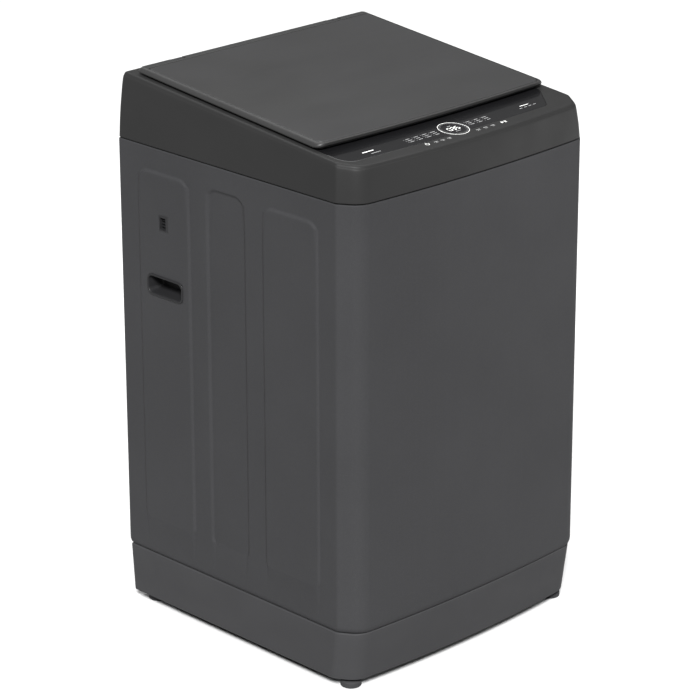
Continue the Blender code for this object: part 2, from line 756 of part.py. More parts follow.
def dispenser():
    """Detergent drawer in its housing behind the mouth."""
    front = MOUTH_Y + MOUTH_HALF_Y - 0.003 + MOULD + GAP
    back = front + 0.070
    t = 0.0025
    x0, x1 = DRAWER_X[0] - 0.0035, DRAWER_X[1] + 0.0035
    z0, z1 = DRAWER_Z[0] - 0.0035, DRAWER_Z[1] + 0.0060
    outer = rounded_rect((x0 + x1) / 2, (z0 + z1) / 2, x1 - x0, z1 - z0, 0.003, 2)
    inner = offset_loop(outer, t)
    rings = [[Vector((p.x, back, p.y)) for p in outer], [Vector((p.x, front, p.y)) for p in outer],
             [Vector((p.x, front, p.y)) for p in inner], [Vector((p.x, back - t, p.y)) for p in inner]]
    loft("dispenser_housing", rings, "valve_plastic")

    wall = 0.002
    y0 = MOUTH_Y + MOUTH_HALF_Y - 0.003
    y1 = back - t - 0.002
    outline = [Vector((DRAWER_X[0], y0)), Vector((DRAWER_X[1], y0)),
               Vector((DRAWER_X[1], y1)), Vector((DRAWER_X[0], y1))]
    pocket = [Vector((DRAWER_X[0] + wall, y0 + 0.004)), Vector((DRAWER_X[1] - wall, y0 + 0.004)),
              Vector((DRAWER_X[1] - wall, y1 - wall)), Vector((DRAWER_X[0] + wall, y1 - wall))]
    rings = [[upright(p, DRAWER_Z[0]) for p in outline], [upright(p, DRAWER_Z[1]) for p in outline],
             [upright(p, DRAWER_Z[1]) for p in pocket], [upright(p, DRAWER_Z[0] + wall) for p in pocket]]
    loft("detergent_drawer", rings, "drawer_plastic")


def inlet_valves():
    wall = REAR - 0.0085
    for x, tag in zip(VALVE_X, ("cold", "hot")):
        profile = [(0.0, REAR - 0.043), (0.018, REAR - 0.043), (0.018, wall - 0.005),
                   (0.0205, wall - 0.005), (0.0205, wall - 0.0008), (0.0125, wall - 0.0008),
                   (0.0125, REAR - 0.0003), (0.0092, REAR - 0.0003), (0.0092, REAR - 0.010),
                   (0.0, REAR - 0.010)]
        lathe("inlet_valve_" + tag, profile, "valve_plastic", (x, VALVE_Z), COARSE, "Y")


# ---------------------------------------------------------------- lid
def lid_outline(inset, rear_rim=0.0, tuck=0.0):
    """Counterclockwise lid outline with a gently bowed front edge; tuck draws the front back."""
    hw = HALF_W - LID_SIDE_IN - inset
    yr = REAR - LID_REAR_IN - inset - rear_rim

    def front_y(x):
        return FRONT + LID_FRONT_IN + inset + tuck + LID_BOW * (x / (HALF_W - LID_SIDE_IN)) ** 2

    r_front = 0.014
    r_rear = 0.006
    pts = []
    for i in range(4):
        a = math.radians(90 + 90 * i / 3)
        pts.append(Vector((-hw + r_rear + r_rear * math.cos(a), yr - r_rear + r_rear * math.sin(a))))
    cy = front_y(hw - r_front) + r_front
    for i in range(6):
        a = math.radians(180 + 84 * i / 5)
        pts.append(Vector((-hw + r_front + r_front * math.cos(a), cy + r_front * math.sin(a))))
    right = [Vector((-p.x, p.y)) for p in reversed(pts)]
    x0 = pts[-1].x
    front = []
    for i in range(1, 10):
        x = x0 - 2 * x0 * i / 10
        front.append(Vector((x, front_y(x))))
    return pts + front + right


HINGE_XS = (-0.190, 0.190)
HINGE_HALF = 0.0135
PIN_R = 0.0022
PIN_REACH = 0.010


def lid():
    """Lid frame, bevelled at the sides and undercut at the front, with a pocket for its panel."""
    back = LID_REAR_RIM
    levels = [(0.0030, 0.0, 0.0070, LID_UNDER), (0.0010, 0.0, 0.0070, LID_UNDER + 0.0012),
              (0.0, 0.0, 0.0060, LID_UNDER + 0.0035), (0.0012, -0.0004, 0.0028, LID_UNDER + 0.0060),
              (0.0034, -0.0014, 0.0, LID_TOP - 0.0022), (0.0060, -0.0028, -0.0030, LID_TOP - 0.0005),
              (0.0076, 0.0, -0.0036, LID_TOP), (LID_RIM, back, 0.0, LID_TOP),
              (LID_RIM, back, 0.0, LID_TOP - LID_POCKET)]
    rings = [[on_cover(p, lift) for p in lid_outline(inset, rim, tuck)]
             for inset, rim, tuck, lift in levels]
    obj = loft("lid_frame", rings, "lid_plastic")
    for x in HINGE_XS:
        half = HINGE_HALF + 0.0008
        bore = rod_along_x("tool", x - half - PIN_REACH - 0.0006, x + half + PIN_REACH + 0.0006,
                           HINGE_Y, HINGE_Z, PIN_R + GAP, "rubber")
        combine(obj, bore, "DIFFERENCE")
        notch = block("tool", (x - half, HINGE_Y - 0.0080, HINGE_Z - 0.020),
                      (x + half, HINGE_Y + 0.020, HINGE_Z + 0.020), "rubber")
        combine(obj, notch, "DIFFERENCE")
    rings = [[on_cover(p, lift) for p in lid_outline(inset, back)]
             for inset, lift in ((LID_RIM + 0.0005, LID_TOP - LID_POCKET + GAP),
                                 (LID_RIM + 0.0005, LID_TOP - 0.0006),
                                 (LID_RIM + 0.0012, LID_TOP - 0.0002))]
    loft("lid_panel", rings, "lid_glass")


def hinges():
    """Moulded hinge block on the cover with its cross pin."""
    for x, tag in zip(HINGE_XS, ("left", "right")):
        rings = []
        for side in (-HINGE_HALF, HINGE_HALF):
            ring = []
            for dy, dz in ((-0.0065, None), (-0.0065, 0.0000), (-0.0045, 0.0035), (0.0, 0.0050),
                           (0.0060, 0.0035), (0.0120, -0.0040), (0.0120, None)):
                y = HINGE_Y + dy
                z = cover_z(y, GAP) if dz is None else HINGE_Z + dz
                ring.append(Vector((x + side, y, z)))
            rings.append(ring)
        obj = loft("hinge_" + tag, rings, "black_plastic")
        pin = rod_along_x("tool", x - HINGE_HALF - PIN_REACH, x + HINGE_HALF + PIN_REACH, HINGE_Y,
                          HINGE_Z, PIN_R, "rubber", 12)
        combine(obj, pin, "UNION")


def bumpers():
    for sx, tag in ((-1, "left"), (1, "right")):
        x = sx * (HALF_W - 0.050)
        y = FRONT + 0.152
        slab("lid_bumper_" + tag, circle(x, y, 0.006, 16), [], GAP, LID_UNDER - GAP, on_cover, "rubber")


# ---------------------------------------------------------------- wash unit
def tub_group():
    profile = [(0.030, Z_TUB), (TUB_R, Z_TUB), (TUB_R, Z_TUB_TOP), (TUB_R - TUB_T, Z_TUB_TOP),
               (TUB_R - TUB_T, Z_TUB_IN), (0.030, Z_TUB_IN)]
    tub = lathe("outer_tub", profile, "tub_plastic", steps=FINE)
    reach = math.hypot(ROD_X, ROD_Y)
    for sx in (-1, 1):
        for sy in (-1, 1):
            along = Vector((sx * ROD_X, sy * ROD_Y)) / reach
            across = Vector((-along.y, along.x))
            inner = TUB_R - 0.0020
            outer = reach + 0.016
            half = 0.018
            loop = [along * inner - across * half, along * outer - across * half,
                    along * outer + across * half, along * inner + across * half]
            lug = slab("tool", loop, [circle(sx * ROD_X, sy * ROD_Y, ROD_R + 0.0006, 16)],
                       Z_LUG, Z_LUG + LUG_T, upright, "rubber")
            combine(tub, lug, "UNION")

    ring_low = Z_TUB_TOP + GAP
    ring = [(RING_IN_R, ring_low), (TUB_R, ring_low), (TUB_R, ring_low + 0.006),
            (TUB_R - 0.026, ring_low + 0.014), (RING_IN_R + 0.004, ring_low + 0.014),
            (RING_IN_R, ring_low + 0.010)]
    lathe("tub_ring", ring, "ring_plastic", steps=FINE)


def drum_group():
    floor = Z_DRUM + 0.0015
    profile = [(0.0163, Z_DRUM), (DRUM_R - 0.012, Z_DRUM), (DRUM_R, Z_DRUM + 0.012),
               (DRUM_R, Z_DRUM_TOP), (DRUM_R - DRUM_T, Z_DRUM_TOP),
               (DRUM_R - DRUM_T, Z_DRUM + 0.0126), (DRUM_R - 0.0126, floor), (0.0163, floor)]
    lathe("drum", profile, "drum_steel", steps=FINE)

    low = Z_DRUM_TOP + GAP
    ring = [(RING_IN_R + 0.002, low), (DRUM_R, low), (DRUM_R, low + 0.028), (DRUM_R - 0.004, low + 0.032),
            (RING_IN_R + 0.006, low + 0.032), (RING_IN_R + 0.002, low + 0.028)]
    lathe("balance_ring", ring, "ring_plastic", steps=FINE)

    hub_top = Z_DRUM - GAP
    hub = [(0.0163, Z_TUB_IN + 0.0075), (0.035, Z_TUB_IN + 0.0075), (0.040, hub_top - 0.006),
           (0.140, hub_top - 0.004), (0.140, hub_top), (0.0163, hub_top)]
    lathe("drum_hub", hub, "cast_alloy", steps=24)

    tube = [(0.0083, Z_ROTOR + 0.014), (0.016, Z_ROTOR + 0.014), (0.016, floor + 0.002),
            (0.0083, floor + 0.002)]
    lathe("spin_tube", tube, "zinc_steel", steps=COARSE)

    x1 = math.sqrt((DRUM_R - DRUM_T) ** 2 * math.cos(math.pi / FINE) ** 2 - 0.045 ** 2) - 0.0006
    for sx, tag in ((-1, "left"), (1, "right")):
        outline = [Vector((x1, -0.045)), Vector((x1, 0.045)), Vector((x1 - 0.012, 0.040)),
                   Vector((x1 - 0.019, 0.028)), Vector((x1 - 0.019, -0.028)), Vector((x1 - 0.012, -0.040))]
        outline = order_ccw([Vector((sx * p.x, p.y)) for p in outline])
        z0 = Z_DRUM + 0.150
        slab("lint_filter_" + tag, outline, [], z0, z0 + 0.260, upright, "filter_plastic")


PUMP_R = 0.046           # mounting flange
PUMP_Y = 0.100
PUMP_X = math.sqrt((TUB_R - PUMP_R - 0.0118) ** 2 - PUMP_Y ** 2)


def drive_group():
    shaft_top = Z_DRUM + 0.0365
    shaft = [(0.0, Z_ROTOR - 0.002), (0.008, Z_ROTOR - 0.002), (0.008, shaft_top), (0.0, shaft_top)]
    lathe("drive_shaft", shaft, "zinc_steel", steps=COARSE)

    low = Z_DRUM + 0.005
    top = Z_DRUM + 0.036
    edge = DRUM_R - 0.057
    radii = [0.030 + (edge - 0.060) * share for share in (0.0, 0.26, 0.52, 0.78, 1.0)]

    def lobes(r, angle, h):
        if h < low + 0.006 or r <= 0.031 or r > edge - 0.012:
            return 0.0
        rise = math.sin(math.pi * (r - 0.030) / (edge - 0.030))
        return 0.020 * rise * max(0.0, math.cos(1.5 * angle)) ** 4 + 0.020 * rise * (
            max(0.0, -math.cos(1.5 * angle)) ** 4)

    profile = [(0.0083, low), (edge, low), (edge, low + 0.004), (edge - 0.012, low + 0.010)]
    for r in reversed(radii):
        profile.append((r, low + 0.010 + (top - low - 0.010) * (1 - (r - 0.030) / (edge - 0.042)) ** 1.5))
    profile.append((0.0083, top))
    lathe("pulsator", profile, "pulsator_plastic", steps=FINE, wave=lobes)

    cap_low = max(top, shaft_top) + GAP
    cap = [(0.0, cap_low), (0.024, cap_low), (0.024, cap_low + 0.003), (0.019, cap_low + 0.007),
           (0.0, cap_low + 0.008)]
    lathe("pulsator_cap", cap, "drum_steel", steps=24)

    rotor = [(0.0083, Z_ROTOR), (0.130, Z_ROTOR), (0.130, Z_ROTOR + 0.055), (0.1205, Z_ROTOR + 0.055),
             (0.1205, Z_ROTOR + 0.004), (0.020, Z_ROTOR + 0.004), (0.020, Z_ROTOR + 0.010),
             (0.0083, Z_ROTOR + 0.010)]
    lathe("motor_rotor", rotor, "zinc_steel", steps=24)

    boss = Z_ROTOR + 0.0185
    flange = Z_TUB - GAP
    housing = [(0.0166, boss), (0.0395, boss), (0.0395, Z_ROTOR + 0.058), (0.046, Z_ROTOR + 0.058),
               (0.056, flange - 0.010), (0.130, flange - 0.010), (0.130, flange), (0.0293, flange),
               (0.0293, Z_TUB_IN + 0.0055), (0.0166, Z_TUB_IN + 0.0055)]
    lathe("bearing_housing", housing, "cast_alloy", steps=24)

    stator = [(0.0399, Z_ROTOR + 0.023), (0.115, Z_ROTOR + 0.023), (0.115, Z_ROTOR + 0.053),
              (0.085, Z_ROTOR + 0.0575), (0.0399, Z_ROTOR + 0.0575)]
    lathe("motor_stator", stator, "copper_stator", steps=24)

    pump = [(0.0, Z_TUB - 0.090), (0.034, Z_TUB - 0.090), (0.036, Z_TUB - 0.086),
            (0.036, Z_TUB - 0.034), (PUMP_R, Z_TUB - 0.030), (PUMP_R, Z_TUB - GAP), (0.0, Z_TUB - GAP)]
    lathe("drain_pump", pump, "black_plastic", (-PUMP_X, PUMP_Y), 24)


BRACE_REACH = (0.060, 0.082)     # front brace beyond its rod, across and along
BRACE_REAR = (0.045, 0.067)      # rear brace, a triangle


def suspension():
    """Four hanging rods from corner braces; a damper cup on each tub lug rides on its rod."""
    z_disc = Z_TUB + 0.018
    for sx, x_name in ((-1, "left"), (1, "right")):
        for front in (True, False):
            tag = ("front_" if front else "rear_") + x_name
            x = sx * ROD_X
            y = -ROD_Y if front else ROD_Y
            if front:
                loop = plan(SHEET + 2 * GAP, SHEET + 2 * GAP, 0.0)
                x_lim = ROD_X - BRACE_REACH[0]
                y_lim = ROD_Y - BRACE_REACH[1]
                pts, side_pt, end_pt = clip_corner(loop, sx, True, x_lim, y_lim)
                end_pt.y = FRONT + SHEET + 3 * GAP + FRONT_BOW * (2 * x_lim / WIDTH) ** 2
                outline = order_ccw(pts + [side_pt, end_pt])
            else:
                wall = sx * (HALF_W - SHEET - 2 * GAP)
                back = REAR - 0.0219 - SHEET - 2 * GAP
                outline = order_ccw([Vector((wall, ROD_Y - BRACE_REAR[1])), Vector((wall, back)),
                                     Vector((sx * (ROD_X - BRACE_REAR[0]), back))])
            hole = circle(x, y, ROD_R + GAP, 16)
            slab("hanger_brace_" + tag, outline, [hole], Z_BRACE, Z_BRACE + 0.003, upright, "zinc_steel")
            z_head = Z_BRACE + 0.003 + GAP
            rod = [(0.0, z_disc), (0.015, z_disc), (0.015, z_disc + 0.004), (ROD_R, z_disc + 0.004),
                   (ROD_R, z_head), (0.009, z_head), (0.009, z_head + 0.006), (0.005, z_head + 0.011),
                   (0.0, z_head + 0.011)]
            lathe("suspension_rod_" + tag, rod, "zinc_steel", (x, y), 10)
            z1 = Z_LUG - GAP
            cup = [(ROD_R + 0.0006, z1 - 0.003), (ROD_R + 0.0006, z1), (0.017, z1), (0.020, z1 - 0.004),
                   (0.020, z1 - 0.050), (0.0178, z1 - 0.050), (0.0178, z1 - 0.003)]
            lathe("suspension_cup_" + tag, cup, "black_plastic", (x, y), 12)


cabinet()
rear_panel()
rear_ports()
base_skirt()
base_brackets_and_feet()
top_cover()
control_parts()
dispenser()
inlet_valves()
lid()
hinges()
bumpers()
handle_cup("side_handle_left", -1)
handle_cup("side_handle_right", 1)
slot_plug("side_vent_left", -1)
slot_plug("side_vent_right", 1)
tub_group()
drum_group()
drive_group()
suspension()
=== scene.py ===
"""Looks of the top load washing machine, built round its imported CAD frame.

Metres, +Z up, front towards -Y.  Sizes shared with the CAD come from the frame's boxes; what is
left here is the detail of each surface: pressed panels, rounded mouldings, prints and finishes.
"""

import json
import math
import random

import bmesh
import bpy
from mathutils import Matrix, Vector
from mathutils.geometry import delaunay_2d_cdt


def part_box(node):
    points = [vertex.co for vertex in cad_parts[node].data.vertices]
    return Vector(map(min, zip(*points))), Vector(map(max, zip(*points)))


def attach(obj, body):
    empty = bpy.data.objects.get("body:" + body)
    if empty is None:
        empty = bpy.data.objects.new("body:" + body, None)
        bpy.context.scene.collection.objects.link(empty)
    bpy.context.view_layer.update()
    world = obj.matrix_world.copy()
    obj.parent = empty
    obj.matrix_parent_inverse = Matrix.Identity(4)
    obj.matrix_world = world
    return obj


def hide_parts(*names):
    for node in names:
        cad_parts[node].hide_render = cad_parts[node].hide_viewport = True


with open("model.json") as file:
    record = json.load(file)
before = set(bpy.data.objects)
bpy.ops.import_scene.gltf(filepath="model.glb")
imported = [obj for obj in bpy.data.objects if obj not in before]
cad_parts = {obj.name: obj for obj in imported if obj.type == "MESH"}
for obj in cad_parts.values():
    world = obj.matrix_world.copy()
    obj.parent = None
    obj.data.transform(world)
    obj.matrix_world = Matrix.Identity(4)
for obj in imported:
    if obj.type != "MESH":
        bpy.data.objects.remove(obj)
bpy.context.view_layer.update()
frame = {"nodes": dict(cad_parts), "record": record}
NODE_BODY = {node: body for body, nodes in frame["record"]["behaviour"]["bodies"].items() for node in nodes}

# ---------------------------------------------------------------- sizes read from the frame
EMBOSS = 0.003
CAB_LO, CAB_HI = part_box("cabinet")
HALF_W = CAB_HI.x - EMBOSS
FRONT, REAR = CAB_LO.y, CAB_HI.y
CAB_Z, SEAM = CAB_LO.z, CAB_HI.z
FOOT_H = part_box("base_skirt")[0].z
SKIRT_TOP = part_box("base_skirt")[1].z
COVER_FRONT_H = 0.0615
SLOPE = 0.100
FRONT_BOW = 0.0137
SKIRT_BOW = 0.0176
CREASE_BACK = 0.035
CREASE_IN = 0.0237
BEND = 0.0206
REAR_R = 0.006
SHEET = 0.0012
HINGE_Z = (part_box("hinge_left")[0].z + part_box("hinge_left")[1].z) / 2


def cover_z(y, lift=0.0):
    """Height of the sloped cover top at depth y."""
    return SEAM + COVER_FRONT_H + SLOPE * (y - FRONT) + lift


def on_cover(p, lift=0.0):
    return Vector((p.x, p.y, cover_z(p.y, lift)))


def upright(p, z):
    return Vector((p.x, p.y, z))


def polar(r, a, z):
    return Vector((r * math.cos(a), r * math.sin(a), z))


def angles(steps):
    """Evenly spread angles of a full turn."""
    return [2 * math.pi * i / steps for i in range(steps)]


def draped(outline, profile):
    """Rings over the sloped cover: outline(inset) at each (inset, lift) of the profile."""
    return [[on_cover(p, lift) for p in outline(inset)] for inset, lift in profile]


# ---------------------------------------------------------------- outlines
def bezier(a, b, c, steps):
    """Points of a quadratic curve from a to c, pulled towards b."""
    out = []
    for i in range(steps + 1):
        t = i / steps
        out.append(a * (1 - t) ** 2 + b * (2 * t * (1 - t)) + c * t * t)
    return out


def smooth(points, steps):
    """Catmull-Rom curve through points of any length; the ends are kept."""
    rows = [tuple(p) for p in points]
    rows = [rows[0]] + rows + [rows[-1]]
    out = []
    for k in range(1, len(rows) - 2):
        p0, p1, p2, p3 = rows[k - 1:k + 3]
        for i in range(steps):
            t = i / steps
            point = []
            for a, b, c, d in zip(p0, p1, p2, p3):
                point.append(0.5 * (2 * b + (c - a) * t + (2 * a - 5 * b + 4 * c - d) * t * t
                                    + (3 * b - a - 3 * c + d) * t ** 3))
            out.append(tuple(point))
    out.append(rows[-1])
    return out


def left_outline(side, front, rear, bow, crease_r):
    """The plan outline's left half, from the rear corner to the front's straight run."""
    hw = HALF_W - side
    yr = REAR - rear

    def front_y(x):
        return FRONT + front + bow * (x / HALF_W) ** 2

    corner = []
    for i in range(9):
        a = math.pi / 2 * (1 + i / 8)
        corner.append(Vector((-hw + REAR_R + REAR_R * math.cos(a), yr - REAR_R + REAR_R * math.sin(a))))
    crease = Vector((-hw, front_y(hw) + CREASE_BACK))
    bend = Vector((-hw + CREASE_IN, front_y(hw - CREASE_IN)))
    along = (bend - crease).normalized()
    crease_arc = bezier(crease + Vector((0, crease_r)), crease, crease + along * crease_r, 4)
    end_x = -hw + CREASE_IN + BEND
    bend_arc = bezier(bend - along * BEND, bend, Vector((end_x, front_y(end_x))), 12)
    return corner, crease_arc + bend_arc, front_y


def plan(side, front, rear, bow=FRONT_BOW, crease_r=0.003, steps=24, wall=()):
    """Closed plan outline, counterclockwise from the rear left corner; wall adds side points."""
    corner, nose, front_y = left_outline(side, front, rear, bow, crease_r)
    side_points = []
    for share in wall:
        side_points.append(corner[-1].lerp(nose[0], share))
    left = corner + side_points + nose
    middle = []
    for i in range(1, steps):
        x = nose[-1].x * (1 - 2 * i / steps)
        middle.append(Vector((x, front_y(x))))
    return left + middle + [Vector((-p.x, p.y)) for p in reversed(left)]


def offset_loop(points, inset):
    """Move a counterclockwise closed loop inwards by inset."""
    out = []
    n = len(points)
    for i in range(n):
        d1 = (points[i] - points[i - 1]).normalized()
        d2 = (points[(i + 1) % n] - points[i]).normalized()
        mid = Vector((-d1.y - d2.y, d1.x + d2.x))
        out.append(points[i] + mid * (2 * inset / max(mid.length_squared, 0.5)))
    return out


def rounded_rect(cx, cy, w, h, r, steps=8):
    pts = []
    for kx, ky, a0 in ((1, -1, -90), (1, 1, 0), (-1, 1, 90), (-1, -1, 180)):
        for i in range(steps + 1):
            a = math.radians(a0 + 90 * i / steps)
            x = cx + kx * (w / 2 - r) + r * math.cos(a)
            y = cy + ky * (h / 2 - r) + r * math.sin(a)
            pts.append(Vector((x, y)))
    return pts


def circle(cx, cy, r, steps=48):
    out = []
    for i in range(steps):
        a = 2 * math.pi * i / steps
        out.append(Vector((cx + r * math.cos(a), cy + r * math.sin(a))))
    return out


def inside(point, loop):
    hit = False
    for i in range(len(loop)):
        a, b = loop[i - 1], loop[i]
        if (a.y > point.y) != (b.y > point.y):
            if point.x < (b.x - a.x) * (point.y - a.y) / (b.y - a.y) + a.x:
                hit = not hit
    return hit


# ---------------------------------------------------------------- surfaces and pieces
class Surface:
    """A mesh collected strip by strip."""

    def __init__(self):
        self.bm = bmesh.new()

    def face(self, points):
        self.bm.faces.new([self.bm.verts.new(p) for p in points])

    def grid(self, rows, closed=True, skip=None):
        """Quads between rows of equal length."""
        verts = [[self.bm.verts.new(p) for p in row] for row in rows]
        n = len(rows[0])
        for k in range(len(rows) - 1):
            for i in range(n if closed else n - 1):
                if skip and skip(k, i):
                    continue
                j = (i + 1) % n
                self.bm.faces.new([verts[k][i], verts[k][j], verts[k + 1][j], verts[k + 1][i]])

    def area(self, outer, holes, place, flip=False):
        """Flat fill between an outline and its holes."""
        points = list(outer)
        edges = [(i, (i + 1) % len(outer)) for i in range(len(outer))]
        for hole in holes:
            base = len(points)
            points += hole
            edges += [(base + i, base + (i + 1) % len(hole)) for i in range(len(hole))]
        verts, _, faces, _, _, _ = delaunay_2d_cdt(points, edges, [], 0, 1e-7)
        made = [self.bm.verts.new(place(v)) for v in verts]
        for f in faces:
            centre = (verts[f[0]] + verts[f[1]] + verts[f[2]]) / 3
            if inside(centre, outer) and not any(inside(centre, hole) for hole in holes):
                corners = [made[k] for k in f]
                self.bm.faces.new(corners[::-1] if flip else corners)

    def loft(self, rings, closed=False):
        """Rings of equal length, with flat ends unless closed."""
        self.grid(rings)
        if not closed:
            self.face(list(reversed(rings[0])))
            self.face(rings[-1])

    def turn(self, profile, centre=(0.0, 0.0), steps=96, axis="Z", wave=None):
        """Revolve (radius, height) points; a closed profile repeats its first point."""
        rows = []
        for r, h in profile:
            row = []
            for i in range(steps):
                a = 2 * math.pi * i / steps
                rr, hh = wave(r, a, h) if wave else (r, h)
                flat = (centre[0] + rr * math.cos(a), centre[1] + rr * math.sin(a))
                row.append(Vector((flat[0], flat[1], hh)) if axis == "Z" else Vector((flat[0], hh, flat[1])))
            rows.append(row)
        self.grid(rows)

    def piece(self, name, finish, body, replaces=(), wall=0.0, bevel=0.0, sharp=38.0, mods=True):
        bmesh.ops.remove_doubles(self.bm, verts=self.bm.verts, dist=2e-6)
        loose = [v for v in self.bm.verts if not v.link_faces]
        bmesh.ops.delete(self.bm, geom=loose, context="VERTS")
        bmesh.ops.recalc_face_normals(self.bm, faces=self.bm.faces)
        mesh = bpy.data.meshes.new(name)
        self.bm.to_mesh(mesh)
        self.bm.free()
        return dress(name, mesh, finish, body, replaces, wall, bevel, sharp, mods)


def dress(name, mesh, finish, body, replaces=(), wall=0.0, bevel=0.0, sharp=38.0, mods=True):
    """Turn a mesh into a finished piece: shading, modifiers, material and body."""
    mesh.shade_smooth()
    mesh.set_sharp_from_angle(angle=math.radians(sharp))
    mesh.materials.clear()
    mesh.materials.append(FINISHES[finish]())
    obj = bpy.data.objects.new(name, mesh)
    bpy.context.scene.collection.objects.link(obj)
    if wall:
        mod = obj.modifiers.new("wall", "SOLIDIFY")
        mod.thickness = wall
        mod.offset = -1.0
        mod.use_even_offset = True
    if bevel:
        mod = obj.modifiers.new("edges", "BEVEL")
        mod.width = bevel
        mod.segments = 3
        mod.limit_method = "ANGLE"
        mod.angle_limit = math.radians(sharp)
        mod.harden_normals = True
    if mods:
        mod = obj.modifiers.new("shading", "WEIGHTED_NORMAL")
        mod.keep_sharp = True
        mod.weight = 60
    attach(obj, body)
    if replaces:
        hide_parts(*replaces)
    return obj


def cut(obj, tool):
    """Exact boolean cut; the tool is used up and the modifiers before it are applied."""
    mod = obj.modifiers.new("cut", "BOOLEAN")
    mod.solver = "EXACT"
    mod.object = tool
    apply(obj)
    bpy.data.objects.remove(tool, do_unlink=True)


def apply(obj):
    graph = bpy.context.evaluated_depsgraph_get()
    graph.update()
    mesh = bpy.data.meshes.new_from_object(obj.evaluated_get(graph))
    obj.modifiers.clear()
    obj.data = mesh


def cutter(build):
    """A throwaway solid for cut()."""
    surface = Surface()
    build(surface)
    bmesh.ops.recalc_face_normals(surface.bm, faces=surface.bm.faces)
    mesh = bpy.data.meshes.new("cutter")
    surface.bm.to_mesh(mesh)
    surface.bm.free()
    obj = bpy.data.objects.new("cutter", mesh)
    bpy.context.scene.collection.objects.link(obj)
    return obj


def box_rings(low, high, r=0.0, axis="Z", steps=4):
    """Rings of a block with rounded edges along one axis."""
    if axis == "Z":
        u, v, w = 0, 1, 2
    elif axis == "X":
        u, v, w = 1, 2, 0
    else:
        u, v, w = 2, 0, 1
    cu, cv = (low[u] + high[u]) / 2, (low[v] + high[v]) / 2
    outline = rounded_rect(cu, cv, high[u] - low[u], high[v] - low[v], max(r, 1e-5), steps)
    rings = []
    for end in (low[w], high[w]):
        ring = []
        for p in outline:
            point = [0.0, 0.0, 0.0]
            point[u], point[v], point[w] = p.x, p.y, end
            ring.append(Vector(point))
        rings.append(ring)
    return rings


# ---------------------------------------------------------------- finishes
def linear(value):
    """sRGB 0-255 to linear."""
    v = value / 255.0
    return v / 12.92 if v <= 0.04045 else ((v + 0.055) / 1.055) ** 2.4


def tone(rgb, scale=1.0):
    return [linear(c) * scale for c in rgb] + [1.0]


SPECULAR = 0.12           # specular level of a finish that states none


class Finish:
    """A procedural material, built up by adding colour, roughness and relief layers."""

    def __init__(self, name, rgb, rough, metal=0.0, **sockets):
        self.mat = bpy.data.materials.new(name)
        self.mat.use_nodes = True
        self.tree = self.mat.node_tree
        self.shader = self.tree.nodes["Principled BSDF"]
        self.shader.inputs["Roughness"].default_value = rough
        self.shader.inputs["Metallic"].default_value = metal
        self.shader.inputs["Specular IOR Level"].default_value = SPECULAR
        for socket, value in sockets.items():
            self.shader.inputs[socket.replace("_", " ")].default_value = value
        self.coords = self.node("ShaderNodeTexCoord").outputs["Object"]
        base = self.node("ShaderNodeRGB")
        base.outputs[0].default_value = tone(rgb)
        self.colour = base.outputs[0]
        self.wire(self.colour, self.shader.inputs["Base Color"])
        self.height = None

    def node(self, kind, **inputs):
        made = self.tree.nodes.new(kind)
        for key, value in inputs.items():
            made.inputs[key].default_value = value
        return made

    def wire(self, a, b):
        self.tree.links.new(a, b)

    def stretched(self, scale):
        mapping = self.node("ShaderNodeMapping", Scale=scale)
        self.wire(self.coords, mapping.inputs["Vector"])
        return mapping.outputs["Vector"]

    def noise(self, scale, detail=3.0, stretch=None, distortion=0.0):
        made = self.node("ShaderNodeTexNoise", Scale=scale, Detail=detail, Distortion=distortion)
        self.wire(self.stretched(stretch) if stretch else self.coords, made.inputs["Vector"])
        return made.outputs["Fac"]

    def cells(self, scale):
        made = self.node("ShaderNodeTexVoronoi", Scale=scale)
        self.wire(self.coords, made.inputs["Vector"])
        return made.outputs["Color"]

    def span(self, value, low, high, source=(0.3, 0.7)):
        made = self.node("ShaderNodeMapRange")
        made.inputs["From Min"].default_value = source[0]
        made.inputs["From Max"].default_value = source[1]
        made.inputs["To Min"].default_value = low
        made.inputs["To Max"].default_value = high
        self.wire(value, made.inputs["Value"])
        return made.outputs["Result"]

    def tint(self, value, rgb, amount, source=(0.35, 0.75)):
        """Mix another colour in where the pattern is high."""
        mix = self.node("ShaderNodeMix")
        mix.data_type = "RGBA"
        mix.inputs["B"].default_value = tone(rgb)
        self.wire(self.span(value, 0.0, amount, source), mix.inputs["Factor"])
        self.wire(self.colour, mix.inputs["A"])
        self.colour = mix.outputs["Result"]
        self.wire(self.colour, self.shader.inputs["Base Color"])
        return self

    def roughen(self, value, low, high, source=(0.3, 0.7)):
        self.wire(self.span(value, low, high, source), self.shader.inputs["Roughness"])
        return self

    def relief(self, value, depth, strength=1.0):
        """Add a bump layer; depth is in metres."""
        bump = self.node("ShaderNodeBump", Strength=strength, Distance=depth)
        self.wire(value, bump.inputs["Height"])
        if self.height:
            self.wire(self.height, bump.inputs["Normal"])
        self.height = bump.outputs["Normal"]
        self.wire(self.height, self.shader.inputs["Normal"])
        return self

    def done(self):
        return self.mat


FINISHES = {}
MADE = {}


def kept(build):
    """One material per finish, made on first use and found by its function's name."""
    def get():
        if build.__name__ not in MADE:
            MADE[build.__name__] = build().done()
        return MADE[build.__name__]
    FINISHES[build.__name__] = get
    return get


@kept
def cabinet_paint():
    """Dark silver satin coat: orange peel, fine flake and a slight cloudiness."""
    f = Finish("cabinet_paint", (37, 37, 38), 0.52, 0.0, Specular_IOR_Level=0.04)
    f.tint(f.noise(5.0, 4.0), (41, 41, 42), 0.5)
    f.tint(f.cells(1500.0), (58, 59, 61), 0.30, (0.55, 1.0))
    f.roughen(f.noise(9.0, 3.0), 0.48, 0.56)
    f.relief(f.noise(240.0, 2.0), 0.00005, 0.35)
    return f.relief(f.noise(1300.0, 1.0), 0.00002, 0.4)


